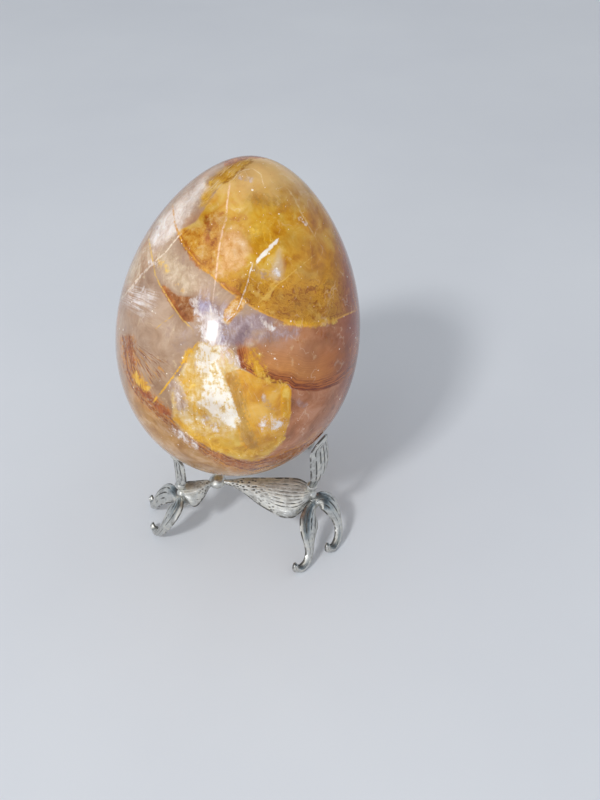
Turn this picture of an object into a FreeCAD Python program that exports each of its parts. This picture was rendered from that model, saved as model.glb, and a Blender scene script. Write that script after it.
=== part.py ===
import FreeCAD, Part
import os
from math import cos, degrees, hypot, pi, radians, sin, sqrt

from FreeCAD import Placement, Rotation, Vector

# A polished stone egg that stands on a small silver-plated stand.
# Three beaded posts carry the stand. From each post a ribbed arm leaf runs in to one off-centre hub bead,
# an upright leaf rises and leans out along the egg, and two leg leaves curve down to curled toes.
# The origin is on the table, on the axis of the three posts. Z is up and -Y is the front.

# Sizes in millimetres and degrees, and shares without a unit
SIZES = {
    # Egg
    "egg_width": 46.9,
    "egg_blunt_height": 28.6,
    "egg_point_height": 37.6,
    "egg_point_share": 0.19,
    "egg_tilt": 9.5,
    "egg_floor_gap": 16.3,
    "egg_seat_gap": 0.08,
    # Beaded posts
    "post_circle": 15.8,
    "post_turn": 54.6,
    "top_bead_radius": 1.15,
    "top_bead_height": 13.5,
    "middle_bead_radius": 1.0,
    "middle_bead_height": 11.25,
    "bottom_bead_radius": 1.45,
    "bottom_bead_height": 8.8,
    "post_core_radius": 0.7,
    # Hub bead
    "hub_across": 6.8,
    "hub_forward": 5.3,
    "hub_height": 12.8,
    "hub_bead_radius": 1.6,
    "hub_bead_half_height": 1.3,
    # Arm leaves
    "long_arm_width": 8.5,
    "short_arm_width": 5.6,
    "rear_arm_width": 7.6,
    "arm_slope": 45.0,
    "arm_thickness": 0.9,
    "arm_crown": 0.8,
    # Upright leaves
    "upright_width": 6.8,
    "upright_thickness": 1.1,
    "upright_tip_height": 29.0,
    "left_upright_tip_height": 22.6,
    "right_upright_bow": 2.2,
    "left_upright_bow": -0.4,
    "rear_upright_bow": 0.9,
    # Leg leaves
    "leg_leaf_width": 4.6,
    "leg_leaf_thickness": 1.1,
    "leg_stem_width": 1.8,
    "leg_stem_thickness": 1.5,
    "long_foot_out": 3.4,
    "long_foot_round": 10.65,
    "short_foot_out": 5.9,
    "short_foot_round": 2.5,
    "toe_radius": 1.25,
    "toe_sweep": 105.0,
    "left_toe_sweep": 65.0,
    "left_toe_turn": 30.0,
    "foot_flat_depth": 0.12,
    # Every leaf
    "rib_depth": 0.22,
    "edge_thickness": 0.4,
}

# Arm leaf from the hub to its post: place along the arm, then its upper and lower edge as shares of its width
ARM_EDGE_SHARES = [
    (0.00, 0.07, 0.05),
    (0.12, 0.08, 0.06),
    (0.30, 0.18, 0.22),
    (0.45, 0.23, 0.42),
    (0.60, 0.28, 0.57),
    (0.76, 0.33, 0.67),
    (0.87, 0.32, 0.59),
    (0.94, 0.24, 0.38),
    (1.00, 0.10, 0.08),
]
# Upright leaf from its bead to the tip: place along its height, then its width and its bow as shares
UPRIGHT_SHARES = [
    (0.00, 0.20, 0.00),
    (0.12, 0.55, 0.30),
    (0.30, 0.90, 0.85),
    (0.45, 1.00, 1.00),
    (0.62, 0.98, 1.00),
    (0.80, 0.84, 1.00),
    (0.92, 0.55, 0.90),
    (1.00, 0.20, 0.80),
]
# Leg leaf from its bead to the foot: place along the curve, then how far it is still a leaf
LEG_LEAF_SHARES = [
    (0.00, 0.00),
    (0.12, 0.55),
    (0.26, 1.00),
    (0.42, 0.86),
    (0.56, 0.42),
    (0.70, 0.08),
    (0.85, 0.00),
    (1.00, 0.00),
]
# Guide points of the two leg curves, as shares of the foot's way out, its way round the post circle
# and the bottom bead's height
LONG_LEG_GUIDE_SHARES = [(0.85, 0.72, 1.15), (1.38, 0.59, 0.15)]
SHORT_LEG_GUIDE_SHARES = [(0.51, -1.24, 1.32), (1.12, -1.00, 0.22)]
# Toe stations along the curl, with their size as a share of the stem
TOE_SHARES = [(0.35, 1.0), (0.7, 1.0), (1.0, 0.85)]

# The arm leaf has its full crown and ribs where it is wider than this share of its width
ARM_FULL_CROWN_SHARE = 0.7

ARM_RIBS = 5
UPRIGHT_RIBS = 4
LEG_RIBS = 3
FULL_TURN = 360.0
POSTS = ["right", "left", "rear"]
SEARCH_STEPS = 60
EGG_CURVE_STEPS = 8

doc = FreeCAD.newDocument("EggOnStand")

sheet = doc.addObject("Spreadsheet::Sheet", "Sizes")
for row, (alias, value) in enumerate(SIZES.items(), start=1):
    sheet.set(f"A{row}", alias)
    sheet.set(f"B{row}", str(value))
    sheet.setAlias(f"B{row}", alias)
doc.recompute()


def size(alias):
    return float(sheet.get(alias))


UP = Vector(0, 0, 1)
WIDE = size("egg_width") / 2
BLUNT = size("egg_blunt_height")
POINT = size("egg_point_height")
TILT = radians(size("egg_tilt"))
# The tilted blunt end reaches this far below the egg's widest circle
EGG_DROP = hypot(BLUNT * cos(TILT), WIDE * sin(TILT))
EGG_CENTRE = Vector(0, 0, size("egg_floor_gap") + EGG_DROP)
EGG_AXIS = Vector(sin(TILT), 0, cos(TILT))


# The egg's radius at a height above its widest circle
def egg_radius(height):
    reach = POINT if height > 0 else BLUNT
    share = min(1.0, abs(height) / reach)
    taper = size("egg_point_share") * share**2 if height > 0 else 0
    return WIDE * sqrt(1 - share**2) * (1 - taper)


# How far a point lies outside the egg, measured square to the egg's own axis
def outside_egg(point):
    offset = point - EGG_CENTRE
    along = offset.dot(EGG_AXIS)
    return (offset - EGG_AXIS * along).Length - egg_radius(along)


# The distance from the posts' axis to the egg's lower half, in one direction and at one height
def egg_surface(outward, height):
    near, far = 0.0, size("egg_width")
    for _ in range(SEARCH_STEPS):
        middle = (near + far) / 2
        if outside_egg(outward * middle + UP * height) < 0:
            near = middle
        else:
            far = middle
    return near


# Directions at a post: outward from the axis, and round the post circle
def post_directions(index):
    turn = radians(size("post_turn") - index * FULL_TURN / len(POSTS))
    return Vector(sin(turn), -cos(turn), 0), Vector(cos(turn), sin(turn), 0)


def add_shape(label, shape):
    feature = doc.addObject("Part::Feature", label)
    feature.Label = label
    feature.Shape = shape
    return feature


# One closed section of a leaf: a ribbed outer face, two thin edges and an inner face that follows the crown
def leaf_section(centre, along, facing, widths, thickness, crown, ribs, rib_depth):
    first_width, last_width = widths
    side = along.cross(facing).normalize()
    out = side.cross(along).normalize()
    edge = min(size("edge_thickness"), thickness)
    outer_steps = 2 * ribs
    outer = [(step / outer_steps, rib_depth if step % 2 == 0 else 0) for step in range(outer_steps + 1)]
    corners = []
    for across, groove in outer:
        rise = 1 - (2 * across - 1) ** 2
        height = edge / 2 + (thickness - edge + crown - groove) * rise
        corners.append(centre + side * (across * (first_width + last_width) - first_width) + out * height)
    for across in (1, 1 / 2, 0):
        rise = 1 - (2 * across - 1) ** 2
        height = crown * rise - edge / 2
        corners.append(centre + side * (across * (first_width + last_width) - first_width) + out * height)
    return Part.makePolygon(corners + corners[:1])


# A smooth solid through the sections
def leaf_solid(sections):
    solid = Part.makeLoft(sections, True, False)
    if solid.Volume < 0:
        solid.reverse()
    return solid


# The directions of a curve at each of its points
def curve_directions(points):
    directions = []
    last = len(points) - 1
    for index in range(len(points)):
        ahead = points[min(index + 1, last)]
        behind = points[max(index - 1, 0)]
        directions.append((ahead - behind).normalize())
    return directions


# The egg: a quarter ellipse below and a tapered curve above, turned round the egg's own axis and tilted
def make_egg():
    bottom, side, tip = Vector(0, 0, -BLUNT), Vector(WIDE, 0, 0), Vector(0, 0, POINT)
    blunt_curve = Part.ArcOfEllipse(Part.Ellipse(bottom, side, Vector()), 0, pi / 2)
    climbs = [pi / 2 * step / EGG_CURVE_STEPS for step in range(EGG_CURVE_STEPS + 1)]
    point_curve = Part.BSplineCurve()
    point_curve.interpolate(
        [Vector(egg_radius(POINT * sin(climb)), 0, POINT * sin(climb)) for climb in climbs[:-1]] + [tip],
        InitialTangent=Vector(0, 0, 1), FinalTangent=Vector(-1, 0, 0),
    )
    outline = Part.Wire([blunt_curve.toShape(), point_curve.toShape(), Part.makeLine(tip, bottom)])
    egg = add_shape("stone_egg", Part.Face(outline).revolve(Vector(), UP, FULL_TURN))
    egg.Placement = Placement(EGG_CENTRE, Rotation(Vector(0, 1, 0), degrees(TILT)))
    return egg


# The hub bead: a flattened ball off the stand's middle
def make_hub():
    hub = doc.addObject("Part::Ellipsoid", "hub_bead")
    hub.Label = "hub_bead"
    hub.setExpression("Radius1", "Sizes.hub_bead_half_height")
    hub.setExpression("Radius2", "Sizes.hub_bead_radius")
    hub.setExpression("Radius3", "Sizes.hub_bead_radius")
    hub.setExpression(".Placement.Base.x", "-Sizes.hub_across")
    hub.setExpression(".Placement.Base.y", "-Sizes.hub_forward")
    hub.setExpression(".Placement.Base.z", "Sizes.hub_height")
    return hub


# A post: three beads on a thin core
def make_post(index):
    name = f"{POSTS[index]}_post"
    outward, _ = post_directions(index)
    pieces = []
    for bead in ("bottom", "middle", "top"):
        ball = doc.addObject("Part::Sphere", f"{name}_{bead}_bead")
        ball.setExpression("Radius", f"Sizes.{bead}_bead_radius")
        ball.setExpression(".Placement.Base.z", f"Sizes.{bead}_bead_height")
        pieces.append(ball)
    core = doc.addObject("Part::Cylinder", f"{name}_core")
    core.setExpression("Radius", "Sizes.post_core_radius")
    core.setExpression("Height", "Sizes.top_bead_height - Sizes.bottom_bead_height")
    core.setExpression(".Placement.Base.z", "Sizes.bottom_bead_height")
    pieces.append(core)
    post = doc.addObject("Part::MultiFuse", name)
    post.Label = name
    post.Shapes = pieces
    post.Placement = Placement(outward * size("post_circle"), Rotation())
    return post


# The middle of a post's bead
def bead_centre(index, bead):
    outward, _ = post_directions(index)
    return outward * size("post_circle") + UP * size(f"{bead}_bead_height")


# An arm leaf: it hangs down and out from the line between the hub and the post
def arm_leaf(index, width):
    hub_centre = Vector(-size("hub_across"), -size("hub_forward"), size("hub_height"))
    span = bead_centre(index, "middle") - hub_centre
    along = Vector(span).normalize()
    level = UP.cross(along).normalize()
    hangs_right = POSTS[index] == "right"
    if hangs_right:
        level = -level
    slope = radians(size("arm_slope"))
    facing = level * sin(slope) + UP * cos(slope)
    sections = []
    for place, upper, lower in ARM_EDGE_SHARES:
        widths = (upper * width, lower * width) if hangs_right else (lower * width, upper * width)
        fullness = min(1, (upper + lower) / ARM_FULL_CROWN_SHARE)
        crown = size("arm_crown") * fullness
        ribs = size("rib_depth") * fullness
        centre = hub_centre + span * place
        thickness = size("arm_thickness")
        sections.append(leaf_section(centre, along, facing, widths, thickness, crown, ARM_RIBS, ribs))
    return leaf_solid(sections)


# An upright leaf: up from its bead with a bow outward, then out along the egg
def upright_leaf(index, tip_height, bow):
    outward, _ = post_directions(index)
    base = size("top_bead_height")
    gap = size("egg_seat_gap")
    thickness = size("upright_thickness")
    points = []
    for place, _, bow_share in UPRIGHT_SHARES:
        height = base + (tip_height - base) * place
        slope = (egg_surface(outward, height + gap) - egg_surface(outward, height - gap)) / (2 * gap)
        hug = egg_surface(outward, height) + (gap + thickness / 2) * hypot(1, slope)
        bowed = size("post_circle") + bow * bow_share
        points.append(outward * max(bowed, hug) + UP * height)
    sections = []
    for point, along, (_, width_share, _) in zip(points, curve_directions(points), UPRIGHT_SHARES):
        half = width_share * size("upright_width") / 2
        ribs = size("rib_depth") * width_share
        sections.append(leaf_section(point, along, outward, (half, half), thickness, 0, UPRIGHT_RIBS, ribs))
    return leaf_solid(sections)


# A leg leaf: a leaf that narrows into a stem, bows out and ends in a foot with a curled toe
def leg_leaf(index, foot_out, foot_round, guides, toe_turn, toe_sweep):
    outward, around = post_directions(index)
    circle = size("post_circle")
    stem_width = size("leg_stem_width")
    foot_height = stem_width / 2 - size("foot_flat_depth")
    start = bead_centre(index, "bottom")
    foot = outward * (circle + foot_out) - around * foot_round + UP * foot_height
    first, second = [
        outward * (circle + foot_out * share_out) - around * foot_round * share_round
        + UP * size("bottom_bead_height") * share_up
        for share_out, share_round, share_up in guides
    ]
    points, leaf_shares, toe_scales = [], [], []
    for place, leaf in LEG_LEAF_SHARES:
        back = 1 - place
        near = start * back**3 + first * 3 * back**2 * place
        points.append(near + second * 3 * back * place**2 + foot * place**3)
        leaf_shares.append(leaf)
        toe_scales.append(1)
    heading = foot - second
    heading.z = 0
    heading = Rotation(UP, toe_turn).multVec(heading.normalize())
    toe = size("toe_radius")
    for place, scale in TOE_SHARES:
        sweep = radians(toe_sweep) * place
        points.append(foot + heading * toe * sin(sweep) + UP * toe * (1 - cos(sweep)))
        leaf_shares.append(0)
        toe_scales.append(scale)
    sections = []
    for point, along, leaf, scale in zip(points, curve_directions(points), leaf_shares, toe_scales):
        half = (stem_width + (size("leg_leaf_width") - stem_width) * leaf) * scale / 2
        stem_thickness = size("leg_stem_thickness")
        thickness = stem_thickness + (size("leg_leaf_thickness") - stem_thickness) * leaf
        ribs = size("rib_depth") * leaf
        facing = outward + UP * leaf
        sections.append(leaf_section(point, along, facing, (half, half), thickness, 0, LEG_RIBS, ribs))
    return leaf_solid(sections)


egg = make_egg()
hub = make_hub()
posts = [make_post(index) for index in range(len(POSTS))]
doc.recompute()

# The table takes a flat off each foot
table_reach = size("egg_width") + size("post_circle")
table = Part.makeBox(
    2 * table_reach, 2 * table_reach, table_reach, Vector(-table_reach, -table_reach, -table_reach)
)
arm_widths = {"right": "long_arm_width", "left": "short_arm_width", "rear": "rear_arm_width"}
tip_heights = {
    "right": "upright_tip_height", "left": "left_upright_tip_height", "rear": "upright_tip_height"
}
bows = {"right": "right_upright_bow", "left": "left_upright_bow", "rear": "rear_upright_bow"}
parts = [egg, hub] + posts
for index, name in enumerate(POSTS):
    toe = (size("left_toe_turn"), size("left_toe_sweep")) if name == "left" else (0, size("toe_sweep"))
    long_foot = (size("long_foot_out"), size("long_foot_round"))
    short_foot = (size("short_foot_out"), size("short_foot_round"))
    leaves = {
        "arm_leaf": arm_leaf(index, size(arm_widths[name])),
        "upright_leaf": upright_leaf(index, size(tip_heights[name]), size(bows[name])),
        "long_leg": leg_leaf(index, *long_foot, LONG_LEG_GUIDE_SHARES, *toe),
        "short_leg": leg_leaf(index, *short_foot, SHORT_LEG_GUIDE_SHARES, *toe),
    }
    # Each leaf is trimmed where it meets the beads and the leaves before it
    neighbours = [hub.Shape, posts[index].Shape]
    for leaf_name, shape in leaves.items():
        for neighbour in neighbours + [table]:
            shape = shape.cut(neighbour)
        parts.append(add_shape(f"{name}_{leaf_name}", shape))
        neighbours.append(shape)

doc.recompute()
for part in parts:
    if "Invalid" in part.State or "Error" in part.State:
        raise RuntimeError(f"{part.Label} failed")
    if part.Shape.isNull() or not part.Shape.isValid() or len(part.Shape.Solids) != 1:
        raise RuntimeError(f"{part.Label} has no single valid solid")

os.makedirs("parts", exist_ok=True)
for part in parts:
    part.Shape.exportStep(f"parts/{part.Label}.step")
    print(part.Label, "volume", round(part.Shape.Volume, 2))
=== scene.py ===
# %% [markdown]
# # A polished stone egg on a silver leaf stand
#
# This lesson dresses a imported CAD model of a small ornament: an egg cut from clear quartz with golden and rusty
# inclusions, resting on a silver-plated stand of ribbed leaves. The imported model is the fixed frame. Every piece
# that is made here lies where the CAD solid lies, in metres, with its place in its mesh.

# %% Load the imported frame
from math import cos, hypot, pi, radians, sin

import bpy
import numpy as np
from mathutils import Matrix


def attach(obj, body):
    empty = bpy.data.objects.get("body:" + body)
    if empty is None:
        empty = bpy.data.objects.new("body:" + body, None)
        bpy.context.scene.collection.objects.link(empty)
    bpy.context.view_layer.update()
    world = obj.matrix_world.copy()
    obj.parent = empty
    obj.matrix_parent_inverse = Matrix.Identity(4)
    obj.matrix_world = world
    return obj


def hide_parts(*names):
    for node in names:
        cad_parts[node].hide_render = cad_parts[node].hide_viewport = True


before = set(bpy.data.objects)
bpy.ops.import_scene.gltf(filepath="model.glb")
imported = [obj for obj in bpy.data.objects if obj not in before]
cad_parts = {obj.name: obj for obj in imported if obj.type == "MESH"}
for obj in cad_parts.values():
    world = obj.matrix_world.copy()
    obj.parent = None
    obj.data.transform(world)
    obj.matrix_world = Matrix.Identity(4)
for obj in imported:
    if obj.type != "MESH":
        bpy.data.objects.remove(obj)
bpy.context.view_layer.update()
print("nodes:", sorted(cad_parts))

# %% [markdown]
# ## The camera
#
# The photograph was taken from the front and above, with the lens turned a little. The round table top's edge gave
# the direction, and the egg's outline gave the distance. The same numbers also tell where any point of the egg falls
# in the photograph, which is how the stone's inclusions are placed later.

# %% Place the camera
def add_object(name, data):
    made = bpy.data.objects.new(name, data)
    bpy.context.scene.collection.objects.link(made)
    return made


MM = 0.001
PHOTO_CENTRE = np.array([300.0, 400.0])
FOCAL_PIXELS = 1000.0
PHOTO_HEIGHT = 800
SENSOR_MM = 36.0
CAMERA_PLACE = np.array([11.44, -159.49, 156.63]) * MM
CAMERA_DOWN = radians(38.636)
CAMERA_ROLL = radians(-3.006)

level_right = np.array([1.0, 0.0, 0.0])
level_down = np.array([0.0, -sin(CAMERA_DOWN), -cos(CAMERA_DOWN)])
camera_ahead = np.array([0.0, cos(CAMERA_DOWN), -sin(CAMERA_DOWN)])
camera_right = level_right * cos(CAMERA_ROLL) - level_down * sin(CAMERA_ROLL)
camera_down = level_right * sin(CAMERA_ROLL) + level_down * cos(CAMERA_ROLL)

lens = bpy.data.cameras.new("photo_camera")
lens.sensor_width = SENSOR_MM
lens.lens = FOCAL_PIXELS * SENSOR_MM / PHOTO_HEIGHT
lens.clip_start = 5 * MM
camera = add_object("photo_camera", lens)
columns = np.stack([camera_right, -camera_down, -camera_ahead], axis=1)
camera.matrix_world = Matrix.Translation(CAMERA_PLACE) @ Matrix(columns.tolist()).to_4x4()
bpy.context.scene.camera = camera
bpy.context.scene.view_settings.view_transform = "Standard"
print("lens in mm:", lens.lens)


# Where points of the object fall in the photograph, in pixels
def photo_position(points):
    offset = points - CAMERA_PLACE
    depth = offset @ camera_ahead
    across = np.stack([offset @ camera_right, offset @ camera_down], axis=1)
    return PHOTO_CENTRE + FOCAL_PIXELS * across / depth[:, None]


# %% [markdown]
# ## Small helpers for node trees
#
# Materials and Geometry Nodes are both trees of nodes. One helper adds a node to the tree that is being built, which
# is always called `tree`, sets its options and fills its sockets. A few shorter ones stand for the steps that come
# back often: arithmetic, a soft step, noise and paint.

# %% Node helpers
# Starts the tree of a material or of the world
def start_tree(owner):
    global tree
    owner.use_nodes = True
    tree = owner.node_tree
    tree.nodes.clear()


def add_node(kind, sockets=None, **options):
    node = tree.nodes.new(kind)
    for option, value in options.items():
        setattr(node, option, value)
    for socket, value in (sockets or {}).items():
        if isinstance(value, bpy.types.NodeSocket):
            tree.links.new(value, node.inputs[socket])
        else:
            node.inputs[socket].default_value = value
    return node


def calculate(operation, *values):
    return add_node("ShaderNodeMath", dict(enumerate(values)), operation=operation).outputs[0]


def calculate_vector(operation, *values):
    return add_node("ShaderNodeVectorMath", dict(enumerate(values)), operation=operation).outputs[0]


def times(first, *others):
    for other in others:
        first = calculate("MULTIPLY", first, other)
    return first


def combine(x, y, z):
    return add_node("ShaderNodeCombineXYZ", {0: x, 1: y, 2: z}).outputs[0]


# 0 below low, 1 above high and a smooth step between. With low above high it falls instead
def soft_step(value, low, high):
    sockets = {"Value": value, "From Min": low, "From Max": high}
    return add_node("ShaderNodeMapRange", sockets, interpolation_type="SMOOTHSTEP").outputs["Result"]


# Object coordinates in millimetres, so that a noise runs through the whole piece
def place_in_mm():
    return calculate_vector("MULTIPLY", add_node("ShaderNodeTexCoord").outputs["Object"], (1 / MM, 1 / MM, 1 / MM))


def attribute(name):
    return add_node("ShaderNodeAttribute", attribute_name=name).outputs["Fac"]


# Noise whose middle is 0.5, or with output 1 three such noises as a colour. The grain is lumps in a millimetre
def noise(place, grain, detail=3.0, roughness=0.55, distortion=0.0, output=0):
    sockets = {"Vector": place, "Scale": grain, "Detail": detail, "Roughness": roughness, "Distortion": distortion}
    return add_node("ShaderNodeTexNoise", sockets).outputs[output]


# The colour of a pigment as the eye reads it, turned to the renderer's light values
def pigment(red, green, blue):
    shares = [channel / 255 for channel in (red, green, blue)]
    light = [share / 12.92 if share <= 0.04045 else ((share + 0.055) / 1.055) ** 2.4 for share in shares]
    return (*light, 1.0)


# A ramp from one pigment to the next, read at a value between 0 and 1. A stop is its place and its pigment
def pigment_ramp(value, *stops):
    ramp = add_node("ShaderNodeValToRGB", {0: value})
    elements = ramp.color_ramp.elements
    while len(elements) < len(stops):
        elements.new(0.5)
    for element, (position, *colour) in zip(elements, stops):
        element.position = position
        element.color = pigment(*colour)
    return ramp.outputs["Color"]


# One colour or pigment over another, as far as the cover says
def paint_over(below, colour, cover, blend="MIX"):
    colour = pigment(*colour) if isinstance(colour, tuple) else colour
    return add_node("ShaderNodeMix", {0: cover, 6: below, 7: colour}, data_type="RGBA", blend_type=blend).outputs[2]


# Lays one more colour over the paint so far
def lay(colour, cover, blend="MIX"):
    global paint
    paint = paint_over(paint, colour, cover, blend)


def finish_material(sockets):
    shader = add_node("ShaderNodeBsdfPrincipled", sockets)
    add_node("ShaderNodeOutputMaterial", {"Surface": shader.outputs[0]})


# %% [markdown]
# A Geometry Nodes tree works on a start mesh: an empty one for the egg and a swept skin for each leaf.

# %% Helpers for Geometry Nodes
def make_geometry_tree(name, sizes):
    tree = bpy.data.node_groups.new(name, "GeometryNodeTree")
    tree.interface.new_socket("Geometry", in_out="INPUT", socket_type="NodeSocketGeometry")
    for size_name, value in sizes.items():
        kind = "NodeSocketInt" if isinstance(value, int) else "NodeSocketFloat"
        socket = tree.interface.new_socket(size_name, in_out="INPUT", socket_type=kind)
        socket.default_value = value
    tree.interface.new_socket("Geometry", in_out="OUTPUT", socket_type="NodeSocketGeometry")
    return tree, tree.nodes.new("NodeGroupInput").outputs, tree.nodes.new("NodeGroupOutput").inputs


def finish_geometry_tree(geometry, output, material):
    real = add_node("GeometryNodeRealizeInstances", {"Geometry": geometry})
    painted = add_node("GeometryNodeSetMaterial", {"Geometry": real.outputs[0], "Material": material})
    tree.links.new(painted.outputs[0], output[0])


# Runs a tree on a mesh and returns the result as a plain object
def grow(name, tree, sizes, start_mesh=None):
    start = add_object(f"{name}_start", start_mesh or bpy.data.meshes.new(f"{name}_start"))
    modifier = start.modifiers.new(tree.name, "NODES")
    modifier.node_group = tree
    identifiers = {item.name: item.identifier for item in tree.interface.items_tree if item.in_out == "INPUT"}
    for size_name, value in sizes.items():
        modifier[identifiers[size_name]] = value
    bpy.context.view_layer.update()
    depsgraph = bpy.context.evaluated_depsgraph_get()
    evaluated = start.evaluated_get(depsgraph)
    mesh = bpy.data.meshes.new_from_object(evaluated, preserve_all_data_layers=True, depsgraph=depsgraph)
    mesh.name = name
    start.modifiers.remove(modifier)
    bpy.data.objects.remove(start)
    mesh.shade_smooth()
    print(name, "has", len(mesh.vertices), "points and", len(mesh.polygons), "faces")
    return add_object(name, mesh)


def read_vectors(items, name):
    values = np.zeros(len(items) * 3, np.float32)
    items.foreach_get(name, values)
    return values.reshape(-1, 3).astype(float)


def read_attribute(mesh, name):
    values = np.zeros(len(mesh.vertices), np.float32)
    mesh.attributes[name].data.foreach_get("value", values)
    return values.astype(float)


def write_attribute(mesh, name, values):
    layer = mesh.attributes.get(name) or mesh.attributes.new(name, "FLOAT", "POINT")
    layer.data.foreach_set("value", np.asarray(values, np.float32))


# %% [markdown]
# ## The egg's form
#
# The egg follows a rule: an ellipse turned round the egg's axis, blunter below its widest circle than above it, with
# a small taper towards the point. A cube of many small squares is blown up to a ball, which has no crowded poles,
# and the same tree then stretches the ball by that rule, leans it and lifts it to its seat.

# %% The egg's sizes
EGG_WIDE = 23.45 * MM
EGG_BLUNT = 28.6 * MM
EGG_POINT = 37.6 * MM
EGG_TAPER = 0.19
EGG_LEAN = radians(9.5)
EGG_FLOOR_GAP = 16.3 * MM
egg_axis = np.array([sin(EGG_LEAN), 0.0, cos(EGG_LEAN)])
egg_centre = np.array([0.0, 0.0, EGG_FLOOR_GAP + hypot(EGG_BLUNT * cos(EGG_LEAN), EGG_WIDE * sin(EGG_LEAN))])
print("egg centre in mm:", egg_centre / MM)

# %% Grow the egg
stone = bpy.data.materials.new("polished_quartz")
egg_sizes = {
    "Squares": 121, "Wide": EGG_WIDE, "Blunt": EGG_BLUNT, "Point": EGG_POINT, "Taper": EGG_TAPER,
    "Lean": EGG_LEAN, "Height": float(egg_centre[2]),
}
tree, size, output = make_geometry_tree("egg_form", egg_sizes)
cube = add_node("GeometryNodeMeshCube", {"Size": (2, 2, 2), **{f"Vertices {axis}": size["Squares"] for axis in "XYZ"}})
# Evenly spaced angles: a share of an eighth turn on the cube becomes that share on the ball
corner = add_node("ShaderNodeSeparateXYZ", {0: add_node("GeometryNodeInputPosition").outputs[0]})
even = [calculate("TANGENT", times(corner.outputs[axis], pi / 4)) for axis in range(3)]
ball = calculate_vector("NORMALIZE", combine(*even))
part = add_node("ShaderNodeSeparateXYZ", {0: ball}).outputs
upper = calculate("GREATER_THAN", part[2], 0.0)
thinning = times(part[2], part[2], upper, size["Taper"])
girth = times(calculate("SUBTRACT", 1.0, thinning), size["Wide"])
reach = add_node("ShaderNodeMix", {0: upper, 2: size["Blunt"], 3: size["Point"]}).outputs[0]
egg_form = combine(times(part[0], girth), times(part[1], girth), times(part[2], reach))
lean = {"Vector": egg_form, "Axis": (0, 1, 0), "Angle": size["Lean"]}
leaned = add_node("ShaderNodeVectorRotate", lean, rotation_type="AXIS_ANGLE").outputs[0]
seated = calculate_vector("ADD", leaned, combine(0.0, 0.0, size["Height"]))
placed = add_node("GeometryNodeSetPosition", {"Geometry": cube.outputs["Mesh"], "Position": seated})
finish_geometry_tree(placed.outputs[0], output, stone)
egg = grow("quartz_egg", tree, egg_sizes)
egg_points = read_vectors(egg.data.vertices, "co")
print("egg box in mm:", (egg_points.min(0) / MM).round(2), (egg_points.max(0) / MM).round(2))

# %% [markdown]
# ## Where the inclusions lie
#
# The real stone is clear quartz with sheets inside it: golden plates, rust-coloured bands, white veils and thin
# healed cracks. Each is drawn as an outline or a line in the photograph's pixels, and every point of the egg
# looks up how far it lies inside the outline or beside the line. The lookup goes right through the stone, as the
# sheets do. Towards the far side it wanders more and more, so the back has its own pattern.

# %% The far side wanders
WANDER_PIXELS = 46.0
WANDER_WAVE_MM = 34.0
WANDER_SEED = 11


# A smooth random field between about -1 and 1: a few waves in random directions
def slow_waves(points, seed, wave_mm, count=9):
    chance = np.random.default_rng(seed)
    total = np.zeros(len(points))
    for _ in range(count):
        direction = chance.normal(size=3)
        direction *= 2 * pi / (wave_mm * MM * chance.uniform(0.6, 1.5) * np.linalg.norm(direction))
        total += np.sin(points @ direction + chance.uniform(0, 2 * pi))
    return total / count**0.5 * 0.9


def smooth_step(values, low, high):
    share = np.clip((values - low) / (high - low), 0, 1)
    return share * share * (3 - 2 * share)


egg_normals = read_vectors(egg.data.vertex_normals, "vector")
towards_camera = CAMERA_PLACE - egg_points
towards_camera /= np.linalg.norm(towards_camera, axis=1)[:, None]
facing = (egg_normals * towards_camera).sum(1)
far_side = 1 - smooth_step(facing, -0.75, 0.0)
drawing = photo_position(egg_points)
for axis in range(2):
    drawing[:, axis] += WANDER_PIXELS * far_side * slow_waves(egg_points, WANDER_SEED + axis, WANDER_WAVE_MM)
print("drawing spans", drawing.min(0).round(), "to", drawing.max(0).round())

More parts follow.
